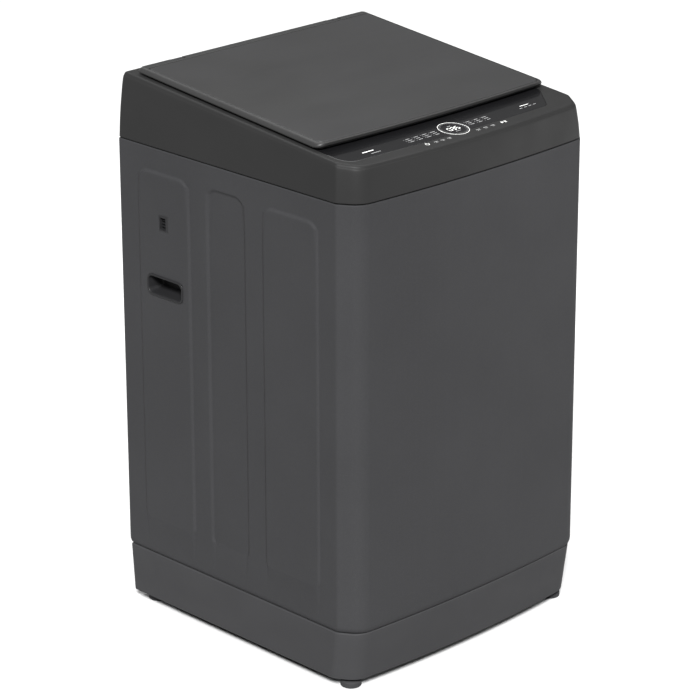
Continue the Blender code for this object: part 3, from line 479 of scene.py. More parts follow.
def moulded(name, rgb, light, rough, grain, depth, **sockets):
    """Injection moulded plastic: spark-eroded grain, flow clouding and worn shine."""
    f = Finish(name, rgb, rough, 0.0, **sockets)
    f.tint(f.noise(7.0, 4.0, (1.0, 1.0, 1.6)), light, 0.5)
    f.tint(f.noise(grain * 0.7, 2.0), light, 0.35, (0.45, 0.75))
    f.roughen(f.noise(14.0, 3.0), rough - 0.05, rough + 0.06)
    f.relief(f.noise(grain, 3.0), depth, 0.5)
    return f.relief(f.noise(40.0, 2.0), 0.00012, 0.12)


# finish: colour, lighter clouds, roughness, grain scale, grain depth, specular level
MOULDINGS = {
    "base_plastic": ((40, 40, 41), (45, 45, 46), 0.55, 900.0, 0.00007, 0.05),
    "cover_plastic": ((28, 28, 28), (31, 31, 31), 0.44, 1100.0, 0.00004, 0.05),
    "lid_plastic": ((33, 33, 33), (36, 36, 36), 0.40, 1200.0, 0.00003, SPECULAR),
    "handle_plastic": ((20, 20, 21), (26, 26, 27), 0.45, 900.0, 0.00005, SPECULAR),
    "black_plastic": ((20, 20, 21), (30, 30, 31), 0.50, 800.0, 0.00006, SPECULAR),
    "board_case": ((182, 182, 176), (202, 202, 197), 0.60, 700.0, 0.00005, SPECULAR),
    "tub_plastic": ((196, 197, 194), (214, 214, 210), 0.58, 500.0, 0.00008, SPECULAR),
    "ring_plastic": ((166, 168, 171), (186, 188, 190), 0.50, 700.0, 0.00005, SPECULAR),
    "pulsator_plastic": ((176, 179, 184), (196, 198, 202), 0.46, 700.0, 0.00005, SPECULAR),
    "drawer_plastic": ((190, 192, 197), (206, 208, 212), 0.48, 700.0, 0.00005, SPECULAR),
    "valve_plastic": ((206, 208, 205), (222, 223, 220), 0.50, 600.0, 0.00006, SPECULAR),
    "filter_plastic": ((138, 146, 156), (160, 168, 178), 0.52, 700.0, 0.00006, SPECULAR),
}


def add_moulding(name):
    rgb, light, rough, grain, depth, specular = MOULDINGS[name]

    def build():
        return moulded(name, rgb, light, rough, grain, depth, Specular_IOR_Level=specular)

    build.__name__ = name
    kept(build)


for moulding in MOULDINGS:
    add_moulding(moulding)


@kept
def lid_glass():
    """Tempered lid panel with a matt back print: dense, even, faintly clouded."""
    f = Finish("lid_glass", (32, 32, 32), 0.36, 0.0, Coat_Weight=0.10, Coat_Roughness=0.25)
    f.tint(f.noise(3.0, 4.0, None, 0.6), (36, 36, 37), 0.6)
    f.tint(f.cells(1800.0), (42, 42, 43), 0.22, (0.6, 1.0))
    f.roughen(f.noise(6.0, 5.0, (1.0, 2.2, 1.0)), 0.30, 0.38)
    return f.relief(f.noise(300.0, 2.0), 0.00002, 0.3)


@kept
def control_glass():
    """Black printed glass: deep gloss broken by faint wipe marks."""
    f = Finish("control_glass", (13, 13, 14), 0.14, 0.0, Coat_Weight=0.4, Coat_Roughness=0.06)
    f.tint(f.noise(5.0, 4.0), (19, 19, 20), 0.6)
    f.roughen(f.noise(18.0, 5.0, (0.4, 2.0, 1.0), 0.8), 0.10, 0.22)
    return f.relief(f.noise(60.0, 2.0), 0.00002, 0.12)


@kept
def rubber():
    f = Finish("rubber", (22, 22, 22), 0.80)
    f.tint(f.noise(60.0, 4.0), (40, 39, 37), 0.5)
    f.roughen(f.noise(120.0, 3.0), 0.70, 0.88)
    return f.relief(f.noise(900.0, 3.0), 0.0001, 0.5)


@kept
def zinc_steel():
    """Galvanised sheet with its spangle."""
    f = Finish("zinc_steel", (142, 146, 150), 0.40, 0.9)
    f.tint(f.cells(90.0), (176, 180, 184), 0.6, (0.2, 0.9))
    f.tint(f.noise(22.0, 5.0), (110, 112, 114), 0.4, (0.5, 0.8))
    f.roughen(f.cells(90.0), 0.30, 0.50, (0.1, 0.9))
    return f.relief(f.noise(420.0, 3.0), 0.00004, 0.4)


@kept
def panel_steel():
    """Rear panel: grey pre-coated sheet."""
    f = Finish("panel_steel", (96, 98, 100), 0.46, 0.55)
    f.tint(f.cells(160.0), (108, 110, 113), 0.5, (0.2, 0.9))
    f.tint(f.noise(7.0, 5.0), (84, 85, 87), 0.5)
    f.roughen(f.noise(16.0, 4.0), 0.40, 0.54)
    return f.relief(f.noise(360.0, 2.0), 0.00005, 0.35)


@kept
def drum_steel():
    """Rolled stainless: fine lines round the drum and soft polish marks."""
    f = Finish("drum_steel", (186, 188, 190), 0.27, 1.0)
    f.tint(f.noise(4.0, 4.0, (1.0, 1.0, 60.0)), (160, 162, 165), 0.55)
    f.tint(f.noise(9.0, 4.0), (206, 207, 208), 0.4)
    f.roughen(f.noise(5.0, 5.0, (1.0, 1.0, 90.0)), 0.20, 0.36)
    return f.relief(f.noise(7.0, 4.0, (1.0, 1.0, 150.0)), 0.00003, 0.35)


@kept
def cast_alloy():
    f = Finish("cast_alloy", (150, 152, 153), 0.50, 0.85)
    f.tint(f.noise(30.0, 5.0), (118, 120, 121), 0.6)
    f.roughen(f.noise(80.0, 3.0), 0.42, 0.62)
    return f.relief(f.noise(500.0, 4.0), 0.00012, 0.6)


@kept
def stator_core():
    """Lacquered windings over a laminated core."""
    f = Finish("stator_core", (120, 70, 42), 0.40, 0.5)
    f.tint(f.noise(40.0, 2.0, (1.0, 1.0, 12.0)), (168, 104, 62), 0.7)
    f.roughen(f.noise(90.0, 3.0), 0.30, 0.50)
    return f.relief(f.noise(60.0, 2.0, (1.0, 1.0, 14.0)), 0.0004, 0.6)


def print_ink(name, rgb, rough):
    """Screen printed ink: slightly uneven in density."""
    f = Finish(name, rgb, rough)
    f.tint(f.noise(500.0, 3.0), [c * 0.82 for c in rgb], 0.7)
    f.roughen(f.noise(300.0, 2.0), rough - 0.05, rough + 0.08)
    return f.relief(f.noise(2400.0, 2.0), 0.00001, 0.3)


@kept
def ink_bright():
    return print_ink("ink_bright", (206, 206, 204), 0.5)


@kept
def ink_grey():
    return print_ink("ink_grey", (128, 128, 128), 0.5)


@kept
def ink_dim():
    return print_ink("ink_dim", (92, 92, 93), 0.5)


# ---------------------------------------------------------------- cabinet
EMBOSS_SLOPE = 0.0068
EMBOSS_R = 0.028
EMBOSS_Z = (FOOT_H + 0.150, FOOT_H + 0.826)
PANELS = (((FRONT + 0.404, FRONT + 0.540), EMBOSS), ((FRONT + 0.266, FRONT + 0.366), -EMBOSS),
          ((FRONT + 0.0865, FRONT + 0.225), EMBOSS))
GRIP_LO, GRIP_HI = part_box("side_handle_left")
VENT_LO, VENT_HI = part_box("side_vent_left")
LIP = 0.003               # grip flange beyond its opening
FOLD_IN = 0.050           # rear fold, in from the side wall
LAP = 0.017               # edge behind the rear panel
LAP_BACK = 0.0219         # that edge, forward of the rear


def panel_height(y, z):
    """How far the wall is pressed out at a point of the side."""
    out = 0.0
    for (y0, y1), height in PANELS:
        qx = abs(y - (y0 + y1) / 2) - ((y1 - y0) / 2 - EMBOSS_R)
        qz = abs(z - sum(EMBOSS_Z) / 2) - ((EMBOSS_Z[1] - EMBOSS_Z[0]) / 2 - EMBOSS_R)
        depth = EMBOSS_R - math.hypot(max(qx, 0.0), max(qz, 0.0)) - min(max(qx, qz), 0.0)
        t = min(max(depth / EMBOSS_SLOPE, 0.0), 1.0)
        out += height * t * t * (3 - 2 * t)
    return out


def graded(low, high, zones, exact, fine, coarse):
    """Grid lines from low to high: fine in the zones, coarse elsewhere, with the exact ones kept."""
    lines = [low]
    while lines[-1] < high:
        at = lines[-1]
        step = fine if any(a - coarse * 0.2 <= at <= b for a, b in zones) else coarse
        lines.append(min(at + step, high))
    lines = [v for v in lines if all(abs(v - e) > fine * 0.45 for e in exact)]
    lines = sorted(set([low, high] + lines + [e for e in exact if low < e < high]))
    return lines


def cabinet():
    """The steel wrap with its pressed side panels, rolled edges and rear folds."""
    turn = EMBOSS_R + 0.004
    y_zones, z_zones = [], []
    for (y0, y1), _ in PANELS:
        y_zones += [(y0 - 0.001, y0 + turn), (y1 - turn, y1 + 0.001)]
    for z, way in ((EMBOSS_Z[0], 1), (EMBOSS_Z[1], -1)):
        z_zones.append(tuple(sorted((z - way * 0.001, z + way * turn))))
    grip = (GRIP_LO.y + LIP, GRIP_HI.y - LIP, GRIP_LO.z + LIP, GRIP_HI.z - LIP)
    vent = (VENT_LO.y, VENT_HI.y, VENT_LO.z, VENT_HI.z)
    corner, nose, _ = left_outline(0.0, 0.0, 0.0, FRONT_BOW, 0.003)
    y_front, y_rear = nose[0].y, corner[-1].y
    depths = graded(y_front, y_rear, y_zones, [grip[0], grip[1], vent[0], vent[1]], 0.0016, 0.012)
    shares = [(y_rear - y) / (y_rear - y_front) for y in reversed(depths[1:-1])]
    levels = graded(CAB_Z + 0.012, SEAM - 0.0014, z_zones, [grip[2], grip[3], vent[2], vent[3]],
                    0.0017, 0.030)
    rows = [(0.020, CAB_Z), (0.006, CAB_Z), (0.0035, CAB_Z + 0.0012), (0.0015, CAB_Z + 0.004),
            (0.0004, CAB_Z + 0.008)]
    rows += [(0.0, z) for z in levels]
    rows += [(0.0002, SEAM - 0.0007), (0.0007, SEAM - 0.0002), (0.0014, SEAM), (0.012, SEAM)]
    fold_x = HALF_W - FOLD_IN
    lap_x = fold_x - LAP
    lap_y = REAR - LAP_BACK
    grid = []
    for inset, z in rows:
        points = []
        for p in plan(inset, inset, inset, wall=shares):
            on_side = abs(abs(p.x) - HALF_W) < 1e-7
            push = panel_height(p.y, z) if on_side else 0.0
            points.append(Vector((p.x * (1 + push / HALF_W), p.y, z)))
        fold = [Vector((-lap_x, lap_y, z)), Vector((-fold_x, lap_y, z)), Vector((-fold_x, REAR, z))]
        grid.append(fold + points + [Vector((-p.x, p.y, p.z)) for p in reversed(fold)])

    def opening(k, i):
        a, b = grid[k][i], grid[k + 1][i + 1]
        y, z = (a.y + b.y) / 2, (a.z + b.z) / 2
        if abs(a.x) < HALF_W - 0.001:
            return False
        return any(r[0] < y < r[1] and r[2] < z < r[3] for r in (grip, vent))

    skin = Surface()
    skin.grid(grid, closed=False, skip=opening)
    skin.piece("cabinet_wrap", "cabinet_paint", "cabinet_body", ["cabinet"], wall=SHEET, sharp=50.0)


def side_ring(loop, sign, x):
    """Ring in a side wall plane, x measured outwards from the raised panel's face."""
    return [Vector((sign * (HALF_W + EMBOSS + x), p.x, p.y)) for p in loop]


def grip_loop(grow):
    cy, cz = (GRIP_LO.y + GRIP_HI.y) / 2, (GRIP_LO.z + GRIP_HI.z) / 2
    w, h = GRIP_HI.y - GRIP_LO.y - 2 * LIP, GRIP_HI.z - GRIP_LO.z - 2 * LIP
    return rounded_rect(cy, cz, w + 2 * grow, h + 2 * grow, max(0.011 + grow, 0.002), 10)


def side_fittings():
    """Finger grips and vent inserts of the side walls."""
    for sign, tag in ((-1, "left"), (1, "right")):
        deep = -(GRIP_HI.x - GRIP_LO.x) + 0.004
        lip = smooth([(0.0026, 0.0003), (0.0030, 0.0007), (0.0028, 0.0012), (0.0018, 0.0018),
                      (0.0002, 0.0019), (-0.0012, 0.0012), (-0.0022, -0.0030), (-0.0038, -0.0120),
                      (-0.0062, -0.0220),
                      (-0.0085, deep + 0.0005), (-0.0120, deep)], 4)
        back = [(-0.0080, deep - 0.002), (-0.0015, -0.012), (0.0003, -SHEET), (0.0003, 0.0003),
                (0.0026, 0.0003)]
        surface = Surface()
        rings = [side_ring(grip_loop(grow), sign, x) for grow, x in back + lip[1:]]
        surface.loft(rings)
        surface.piece(f"side_grip_{tag}", "handle_plastic", "cabinet_body", [f"side_handle_{tag}"], sharp=60)

        surface = Surface()
        cy, cz = (VENT_LO.y + VENT_HI.y) / 2, (VENT_LO.z + VENT_HI.z) / 2
        w, h = VENT_HI.y - VENT_LO.y, VENT_HI.z - VENT_LO.z

        def frame_loop(shrink, mix):
            """From the insert's outline to its pocket, which sits low and to the rear."""
            pw, ph = w + (0.015 - w) * mix, h + (0.022 - h) * mix
            return rounded_rect(cy + 0.002 * mix, cz - 0.001 * mix, pw - shrink, ph - shrink, 0.0012, 5)

        profile = [(0.002, 0, -0.010), (0.0, 0, -0.0022), (0.0, 0, -0.0004), (0.0005, 0, -0.0001),
                   (0.0012, 0, 0.0), (-0.0008, 1, 0.0), (-0.0002, 1, -0.0003), (0.0, 1, -0.0009),
                   (0.0, 1, -0.008)]
        surface.loft([side_ring(frame_loop(shrink, mix), sign, x) for shrink, mix, x in profile])
        for i in range(3):
            z = cz - 0.001 + 0.0055 * (i - 1)
            x0, x1 = HALF_W + EMBOSS - 0.0079, HALF_W + EMBOSS - 0.0045
            low = (min(sign * x0, sign * x1), cy + 0.002 - 0.0074, z - 0.0006)
            high = (max(sign * x0, sign * x1), cy + 0.002 + 0.0074, z + 0.0006)
            surface.loft(box_rings(low, high, 0.0003, "Y"))
        surface.piece(f"side_vent_insert_{tag}", "black_plastic", "cabinet_body", [f"side_vent_{tag}"],
                      sharp=50)


# ---------------------------------------------------------------- base
def skirt_ring(extra, z):
    """Skirt outline at height z; the walls draw in a little towards the floor."""
    t = (z - FOOT_H) / (CAB_Z - FOOT_H)
    side = 0.0045 + (0.0015 - 0.0045) * t
    front = 0.0121 + (0.0035 - 0.0121) * t
    bow = SKIRT_BOW + (FRONT_BOW - SKIRT_BOW) * t
    return [upright(p, z) for p in plan(side + extra, front + extra, side + extra, bow, 0.006)]


def base_skirt():
    top = SKIRT_TOP
    levels = [(0.0012, FOOT_H), (0.0003, FOOT_H + 0.0004), (0.0, FOOT_H + 0.0014)]
    levels += [(0.0, FOOT_H + 0.0014 + (top - FOOT_H - 0.0040) * k / 8) for k in range(1, 9)]
    levels += [(0.0004, top - 0.0012), (0.0014, top - 0.0003), (0.0030, top), (0.030, top),
               (0.030, top - 0.003), (0.0035, top - 0.003), (0.003, top - 0.006),
               (0.003, FOOT_H + 0.004), (0.0026, FOOT_H), (0.0012, FOOT_H)]
    surface = Surface()
    surface.grid([skirt_ring(extra, z) for extra, z in levels])
    surface.piece("base_skirt_moulding", "base_plastic", "cabinet_body", ["base_skirt"], sharp=50)


def feet():
    for node in [n for n in frame["nodes"] if n.startswith("foot_")]:
        low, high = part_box(node)
        cx, cy = (low.x + high.x) / 2, (low.y + high.y) / 2
        r = (high.x - low.x) / 2
        stud = 0.005

        def flutes(rr, a, h):
            groove = 0.0007 * max(0.0, math.cos(24 * a)) ** 2 if 0.002 < h < 0.009 and rr > r - 0.001 else 0.0
            return rr - groove, h

        outer = smooth([(0.0001, 0.0), (r - 0.0030, 0.0), (r - 0.0008, 0.0006), (r, 0.0022),
                        (r, 0.0050), (r, 0.0082), (r - 0.0009, 0.0100), (r - 0.0045, 0.0120),
                        (0.0098, 0.0128)], 3)
        thread = []
        z, pitch = FOOT_H + 0.0010, 0.0016
        while z + pitch < high.z - 0.001:
            thread += [(stud, z), (stud - 0.0006, z + pitch / 2)]
            z += pitch
        tip = [(stud, high.z - 0.001), (stud - 0.001, high.z), (0.0001, high.z)]
        profile = outer + [(0.0095, FOOT_H), (stud, FOOT_H)] + thread + tip
        surface = Surface()
        surface.turn(profile, (cx, cy), 96, wave=flutes)
        surface.piece(f"{node}_pad", "base_plastic", NODE_BODY[node], [node], sharp=40)


# ---------------------------------------------------------------- top cover
def glass_outline(steps=24):
    """Outline of the control glass: reaches the left edge, cut at an angle on the right."""
    def front_y(x):
        return FRONT + 0.0385 + FRONT_BOW * 0.5 * (x / HALF_W) ** 2

    left = -(HALF_W - 0.0225)
    right = HALF_W - 0.033
    tip = HALF_W - 0.088
    back = FRONT + 0.130
    start = left + 0.030
    turn = [(left, FRONT + 0.084), (left, FRONT + 0.070), (left + 0.003, FRONT + 0.0605),
            (left + 0.0085, FRONT + 0.0510), (left + 0.018, front_y(left + 0.018) + 0.0012),
            (start, front_y(start))]
    pts = [Vector((left, back))] + [Vector(p) for p in smooth(turn, 4)]
    for i in range(1, steps + 1):
        x = start + (tip - start) * i / steps
        pts.append(Vector((x, front_y(x))))
    cut_end = [(tip + 0.008, front_y(tip) + 0.004), (right - 0.004, FRONT + 0.100), (right, FRONT + 0.110)]
    return pts + [Vector(p) for p in cut_end] + [Vector((right, back))]


MOUTH = (0.020, 0.410, 0.350, 0.085)      # centre y, width, depth, corner radius


def mouth_outline(grow=0.0):
    cy, w, d, r = MOUTH
    return rounded_rect(0.0, cy, w + 2 * grow, d + 2 * grow, r + grow, 16)


GLASS_T = 0.0024
COVER_WALL = 0.0023
DECK_IN = 0.0160          # deck edge, in from the front and sides
DECK_REAR_IN = 0.0200
ROLL_R = 0.004            # rolled edge of the mouth


def top_cover():
    """Moulded cover: rounded tapering walls, sloped deck, control recess and mouth collar."""
    wall = [(0.0006, 0.0006, 0.0, 0.0034), (0.0026, 0.0026, 0.43, 0.0), (0.0062, 0.0066, 0.86, 0.0),
            (0.0086, 0.0092, 1.0, -0.0042), (0.0100, 0.0112, 1.0, -0.0014), (0.0122, 0.0142, 1.0, -0.0002),
            (DECK_IN, DECK_REAR_IN, 1.0, 0.0)]
    profile = [(0.0042, 0.0042, 0.0, 0.0004), (0.0042, 0.0042, 0.0, 0.0016), (0.0016, 0.0016, 0.0, 0.0018),
               (0.0009, 0.0009, 0.0, 0.0023)] + smooth(wall, 5)
    surface = Surface()
    rings = []
    for inset, rear, share, drop in profile:
        loop = plan(inset, inset, rear)
        rings.append([upright(p, SEAM + share * (cover_z(p.y) - SEAM) + drop) for p in loop])
    surface.grid(rings)
    deck = plan(DECK_IN, DECK_IN, DECK_REAR_IN)
    glass = glass_outline()
    bead = [(0.0048, 0.0), (0.0044, 0.0006), (0.0036, 0.0010), (0.0026, 0.0010), (0.0018, 0.0006),
            (0.0012, 0.0)]
    quarter = [math.pi / 2 * k / 6 for k in range(7)]
    roll = [(-ROLL_R * (1 - math.cos(a)), -ROLL_R * math.sin(a)) for a in quarter]
    surface.area(deck, [glass, mouth_outline(bead[0][0])], on_cover)
    surface.grid(draped(mouth_outline, bead + roll))
    neck = mouth_outline(-ROLL_R)
    surface.grid([[on_cover(p, -ROLL_R) for p in neck], [upright(p, SEAM + 0.016) for p in neck],
                  [upright(p, SEAM + 0.0125) for p in offset_loop(neck, -0.0006)]])
    ledge = offset_loop(glass, 0.006)
    drop = -(GLASS_T + 0.0003)
    surface.grid([[on_cover(p, 0.0) for p in glass], [on_cover(p, drop) for p in glass],
                  [on_cover(p, drop) for p in ledge]])
    obj = surface.piece("top_cover_moulding", "cover_plastic", "cabinet_body", ["top_cover"], wall=COVER_WALL,
                        sharp=42, mods=False)
    apply(obj)
    low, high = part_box("detergent_drawer")
    gap = 0.0012
    cut(obj, cutter(lambda s: s.loft(box_rings((low.x - gap, low.y - 0.024, low.z - gap),
                                               (high.x + gap, low.y + 0.009, high.z + gap), 0.002, "Y"))))
    for node in ("inlet_valve_cold", "inlet_valve_hot"):
        a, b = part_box(node)
        cx, cz = (a.x + b.x) / 2, (a.z + b.z) / 2

        def bore(s):
            s.turn([(1e-5, REAR - 0.020), (0.0135, REAR - 0.020), (0.0135, REAR + 0.01), (1e-5, REAR + 0.01)],
                   (cx, cz), 48, "Y")

        cut(obj, cutter(bore))
    mod = obj.modifiers.new("shading", "WEIGHTED_NORMAL")
    mod.keep_sharp = True


# ---------------------------------------------------------------- controls
PRINT = 0.00012           # ink stands this far proud


def deck_point(x, y, lift):
    """A point of the control strip, x from the centre and y behind the front, in millimetres."""
    p = Vector((x / 1000, FRONT + y / 1000))
    return on_cover(p, lift)


class Ink:
    """Flat printed marks in one colour, all in one mesh."""

    def __init__(self):
        self.surface = Surface()

    def shape(self, outline, holes=()):
        for lift, flip in ((PRINT, False), (0.00002, True)):
            self.surface.area(outline, list(holes), lambda p: deck_point(p.x, p.y, lift), flip)
        for ring in [outline] + list(holes):
            self.surface.grid([[deck_point(p.x, p.y, z) for p in ring] for z in (0.00002, PRINT)])

    def bar(self, x, y, w, h, lean=0.0):
        r = min(w, h) * 0.45
        loop = rounded_rect(0.0, 0.0, w, h, r, 3)
        turn = Matrix.Rotation(math.radians(lean), 2)
        self.shape([turn @ p + Vector((x, y)) for p in loop])

    def ring(self, x, y, r, width, steps=64):
        self.shape(circle(x, y, r, steps), [circle(x, y, r - width, steps)])

    def dot(self, x, y, r):
        self.shape(circle(x, y, r, 20))

    def arc(self, x, y, r, width, start, end, steps=24):
        outer, inner = [], []
        for i in range(steps + 1):
            a = math.radians(start + (end - start) * i / steps)
            outer.append(Vector((x + r * math.cos(a), y + r * math.sin(a))))
            inner.append(Vector((x + (r - width) * math.cos(a), y + (r - width) * math.sin(a))))
        self.shape(outer + inner[::-1])

    def digit(self, x, y, value, w=6.4, h=11.0, t=1.3):
        """Seven-bar figure of the time display."""
        bars = {"top": (0, h / 2, 0), "mid": (0, 0, 0), "low": (0, -h / 2, 0), "ul": (-w / 2, h / 4, 1),
                "ur": (w / 2, h / 4, 1), "ll": (-w / 2, -h / 4, 1), "lr": (w / 2, -h / 4, 1)}
        lit = {3: "top ur mid lr low", 5: "top ul mid lr low", 8: "top mid low ul ur ll lr",
               0: "top low ul ur ll lr"}[value].split()
        for key in lit:
            dx, dy, tall = bars[key]
            size = (t, h / 2 - t * 0.7) if tall else (w - t * 0.9, t)
            self.bar(x + dx, y + dy, *size)

    def piece(self, name, finish):
        return self.surface.piece(name, finish, "cabinet_body", sharp=30, mods=False)


def control_panel():
    glass = glass_outline()
    levels = [(0.0003, -GLASS_T), (0.0003, -0.0007), (0.0005, -0.0003), (0.0009, -0.0001), (0.0016, 0.0)]
    surface = Surface()
    surface.loft(draped(lambda inset: offset_loop(glass, inset), levels))
    surface.piece("control_glass_panel", "control_glass", "cabinet_body", ["control_glass"], sharp=45)

    bright, grey, dim = Ink(), Ink(), Ink()
    cx, cy = -8.0, 57.0
    bright.ring(cx, cy, 27.5, 0.9, 96)
    dim.ring(cx, cy, 24.2, 0.5, 96)
    for k in range(24):
        a = 2 * math.pi * k / 24
        dim.dot(cx + 21.8 * math.cos(a), cy + 21.8 * math.sin(a), 0.5)
    for dx, value in ((-9.0, 0), (0.0, 3), (9.0, 5)):
        bright.digit(cx + dx, cy, value)
    bright.dot(cx - 4.5, cy + 2.4, 0.7)
    bright.dot(cx - 4.5, cy - 2.4, 0.7)
    grey.bar(cx, cy - 11.5, 12.0, 1.2)
    grey.bar(cx, cy + 11.5, 8.0, 1.2)

    random.seed(7)
    for row, y in enumerate((54.0, 60.0, 66.0)):
        for col in range(4):
            x = -110.0 + 20.0 * col
            grey.bar(x, y, 9.0 + 3.0 * random.random(), 1.3)
            dim.dot(x - 8.6, y, 0.9)
        for col in range(3):
            x = 36.0 + 20.0 * col
            grey.bar(x, y, 8.0 + 3.0 * random.random(), 1.3)
            dim.dot(x - 8.4, y, 0.9)

    for x in (162.0, 174.0, 186.0, 198.0):
        grey.bar(x, 58.0 + (x - 162.0) * 0.05, 7.0, 1.3)
    bright.arc(-98.0, 31.0, 4.0, 0.9, -235, 55)
    bright.bar(-98.0, 34.2, 0.9, 4.4)
    for x in (-78.0, -62.0, -46.0):
        grey.bar(x, 31.0, 9.0, 1.3)
        grey.bar(x, 27.6, 6.0, 0.9)
    for x in (24.0, 42.0, 60.0):
        grey.bar(x, 30.5, 9.5, 1.3)
        grey.bar(x, 27.1, 6.5, 0.9)
    bright.shape([Vector((82.0, 34.0)), Vector((82.0, 27.0)), Vector((87.6, 30.5))])
    bright.bar(90.4, 30.5, 1.2, 6.6)
    bright.bar(93.0, 30.5, 1.2, 6.6)
    bright.bar(-205.0, 64.0, 26.0, 2.2)
    grey.bar(-196.0, 54.0, 22.0, 1.4)
    bright.bar(178.0, 66.0, 22.0, 1.4)
    bright.piece("print_bright", "ink_bright")
    grey.piece("print_grey", "ink_grey")
    dim.piece("print_dim", "ink_dim")


# ---------------------------------------------------------------- lid
LID_UNDER, LID_TOP = 0.0030, 0.0140
LID_RIM, LID_REAR_RIM = 0.0086, 0.009
RIB_W = 0.0030
LID_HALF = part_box("lid_frame")[1].x
LID_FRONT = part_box("lid_frame")[0].y - 0.0030
LID_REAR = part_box("lid_frame")[1].y


def lid_outline(inset, rear_rim=0.0, tuck=0.0):
    """Counterclockwise lid outline with a gently bowed front edge; tuck draws the front back."""
    hw, yr = LID_HALF - inset, LID_REAR - inset - rear_rim

    def front_y(x):
        return LID_FRONT + inset + tuck + 0.008 * (x / LID_HALF) ** 2

    r_front, r_rear = 0.014, 0.006
    pts = []
    for i in range(7):
        a = math.radians(90 + 90 * i / 6)
        pts.append(Vector((-hw + r_rear + r_rear * math.cos(a), yr - r_rear + r_rear * math.sin(a))))
    cy = front_y(hw - r_front) + r_front
    for i in range(13):
        a = math.radians(180 + 84 * i / 12)
        pts.append(Vector((-hw + r_front + r_front * math.cos(a), cy + r_front * math.sin(a))))
    x0 = pts[-1].x
    middle = [Vector((x0 * (1 - 2 * i / 24), front_y(x0 * (1 - 2 * i / 24)))) for i in range(1, 24)]
    return pts + middle + [Vector((-p.x, p.y)) for p in reversed(pts)]


def lid():
    """Lid frame with rounded rim and ribbed underside, and the panel set in its top."""
    profile = smooth([(0.0030, 0.0, 0.0070, LID_UNDER), (0.0010, 0.0, 0.0070, LID_UNDER + 0.0012),
                      (0.0, 0.0, 0.0060, LID_UNDER + 0.0035), (0.0012, -0.0004, 0.0028, LID_UNDER + 0.0060),
                      (0.0034, -0.0014, 0.0, LID_TOP - 0.0022), (0.0060, -0.0028, -0.0030, LID_TOP - 0.0005),
                      (0.0076, 0.0, -0.0036, LID_TOP)], 4)
    profile += [(LID_RIM - 0.0008, LID_REAR_RIM, 0.0, LID_TOP),
                (LID_RIM - 0.0003, LID_REAR_RIM, 0.0, LID_TOP - 0.0003),
                (LID_RIM, LID_REAR_RIM, 0.0, LID_TOP - 0.0025)]
    surface = Surface()
    rings = []
    for inset, rim, tuck, lift in profile:
        rings.append([on_cover(p, lift) for p in lid_outline(inset, rim, tuck)])
    surface.grid(rings)
    surface.area(lid_outline(LID_RIM, LID_REAR_RIM), [], lambda p: on_cover(p, LID_TOP - 0.0025))
    middle = (LID_FRONT + LID_REAR) / 2 - 0.004
    well = rounded_rect(0.0, middle, 2 * LID_HALF - 0.060, LID_REAR - LID_FRONT - 0.062, 0.050, 12)
    surface.area(lid_outline(0.0030, 0.0, 0.0070), [well], lambda p: on_cover(p, LID_UNDER), flip=True)
    dish = [(0.0, LID_UNDER), (0.0006, LID_UNDER + 0.0001), (0.0030, LID_UNDER + 0.0026),
            (0.0040, LID_UNDER + 0.0030)]
    surface.grid(draped(lambda inset: offset_loop(well, inset), dish))
    surface.area(offset_loop(well, 0.0040), [], lambda p: on_cover(p, LID_UNDER + 0.0030), flip=True)
    obj = surface.piece("lid_rim", "lid_plastic", "lid", ["lid_frame"], sharp=42, mods=False)
    for node in ("hinge_left", "hinge_right"):
        low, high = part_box(node)
        reach = 0.0100
        y0 = low.y - 0.0015
        x0, x1 = low.x + reach - 0.0008, high.x - reach + 0.0008
        notch = box_rings((x0, y0, HINGE_Z - 0.020), (x1, y0 + 0.040, HINGE_Z + 0.020), 0.001, "Z")
        cut(obj, cutter(lambda s: s.loft(notch)))
    mod = obj.modifiers.new("shading", "WEIGHTED_NORMAL")
    mod.keep_sharp = True

    gap = 0.0008
    edge = [(gap, LID_TOP - 0.0023), (gap, LID_TOP - 0.0009), (gap + 0.0003, LID_TOP - 0.0004),
            (gap + 0.0008, LID_TOP - 0.0002), (0.004, LID_TOP - 0.0001)]
    surface = Surface()
    surface.loft(draped(lambda inset: lid_outline(LID_RIM + inset, LID_REAR_RIM), edge))
    surface.piece("lid_top_panel", "lid_glass", "lid", ["lid_panel"], sharp=45)

    ribs = Surface()
    outlines = [rounded_rect(0.085 * k, middle, RIB_W, 0.300, 0.0014, 3) for k in range(-2, 3)]
    outlines += [rounded_rect(0.0, middle + 0.095 * k, 0.400, RIB_W, 0.0014, 3) for k in range(-1, 2)]
    for ring in outlines:
        ribs.loft([[on_cover(p, LID_UNDER + h) for p in ring] for h in (0.0008, 0.0032)])
    ribs.piece("lid_ribs", "lid_plastic", "lid", sharp=40)


# ---------------------------------------------------------------- wash unit
DRUM_LO, DRUM_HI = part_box("drum")
DRUM_R = DRUM_HI.x
RING_LO, RING_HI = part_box("balance_ring")
TUB_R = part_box("tub_ring")[1].x


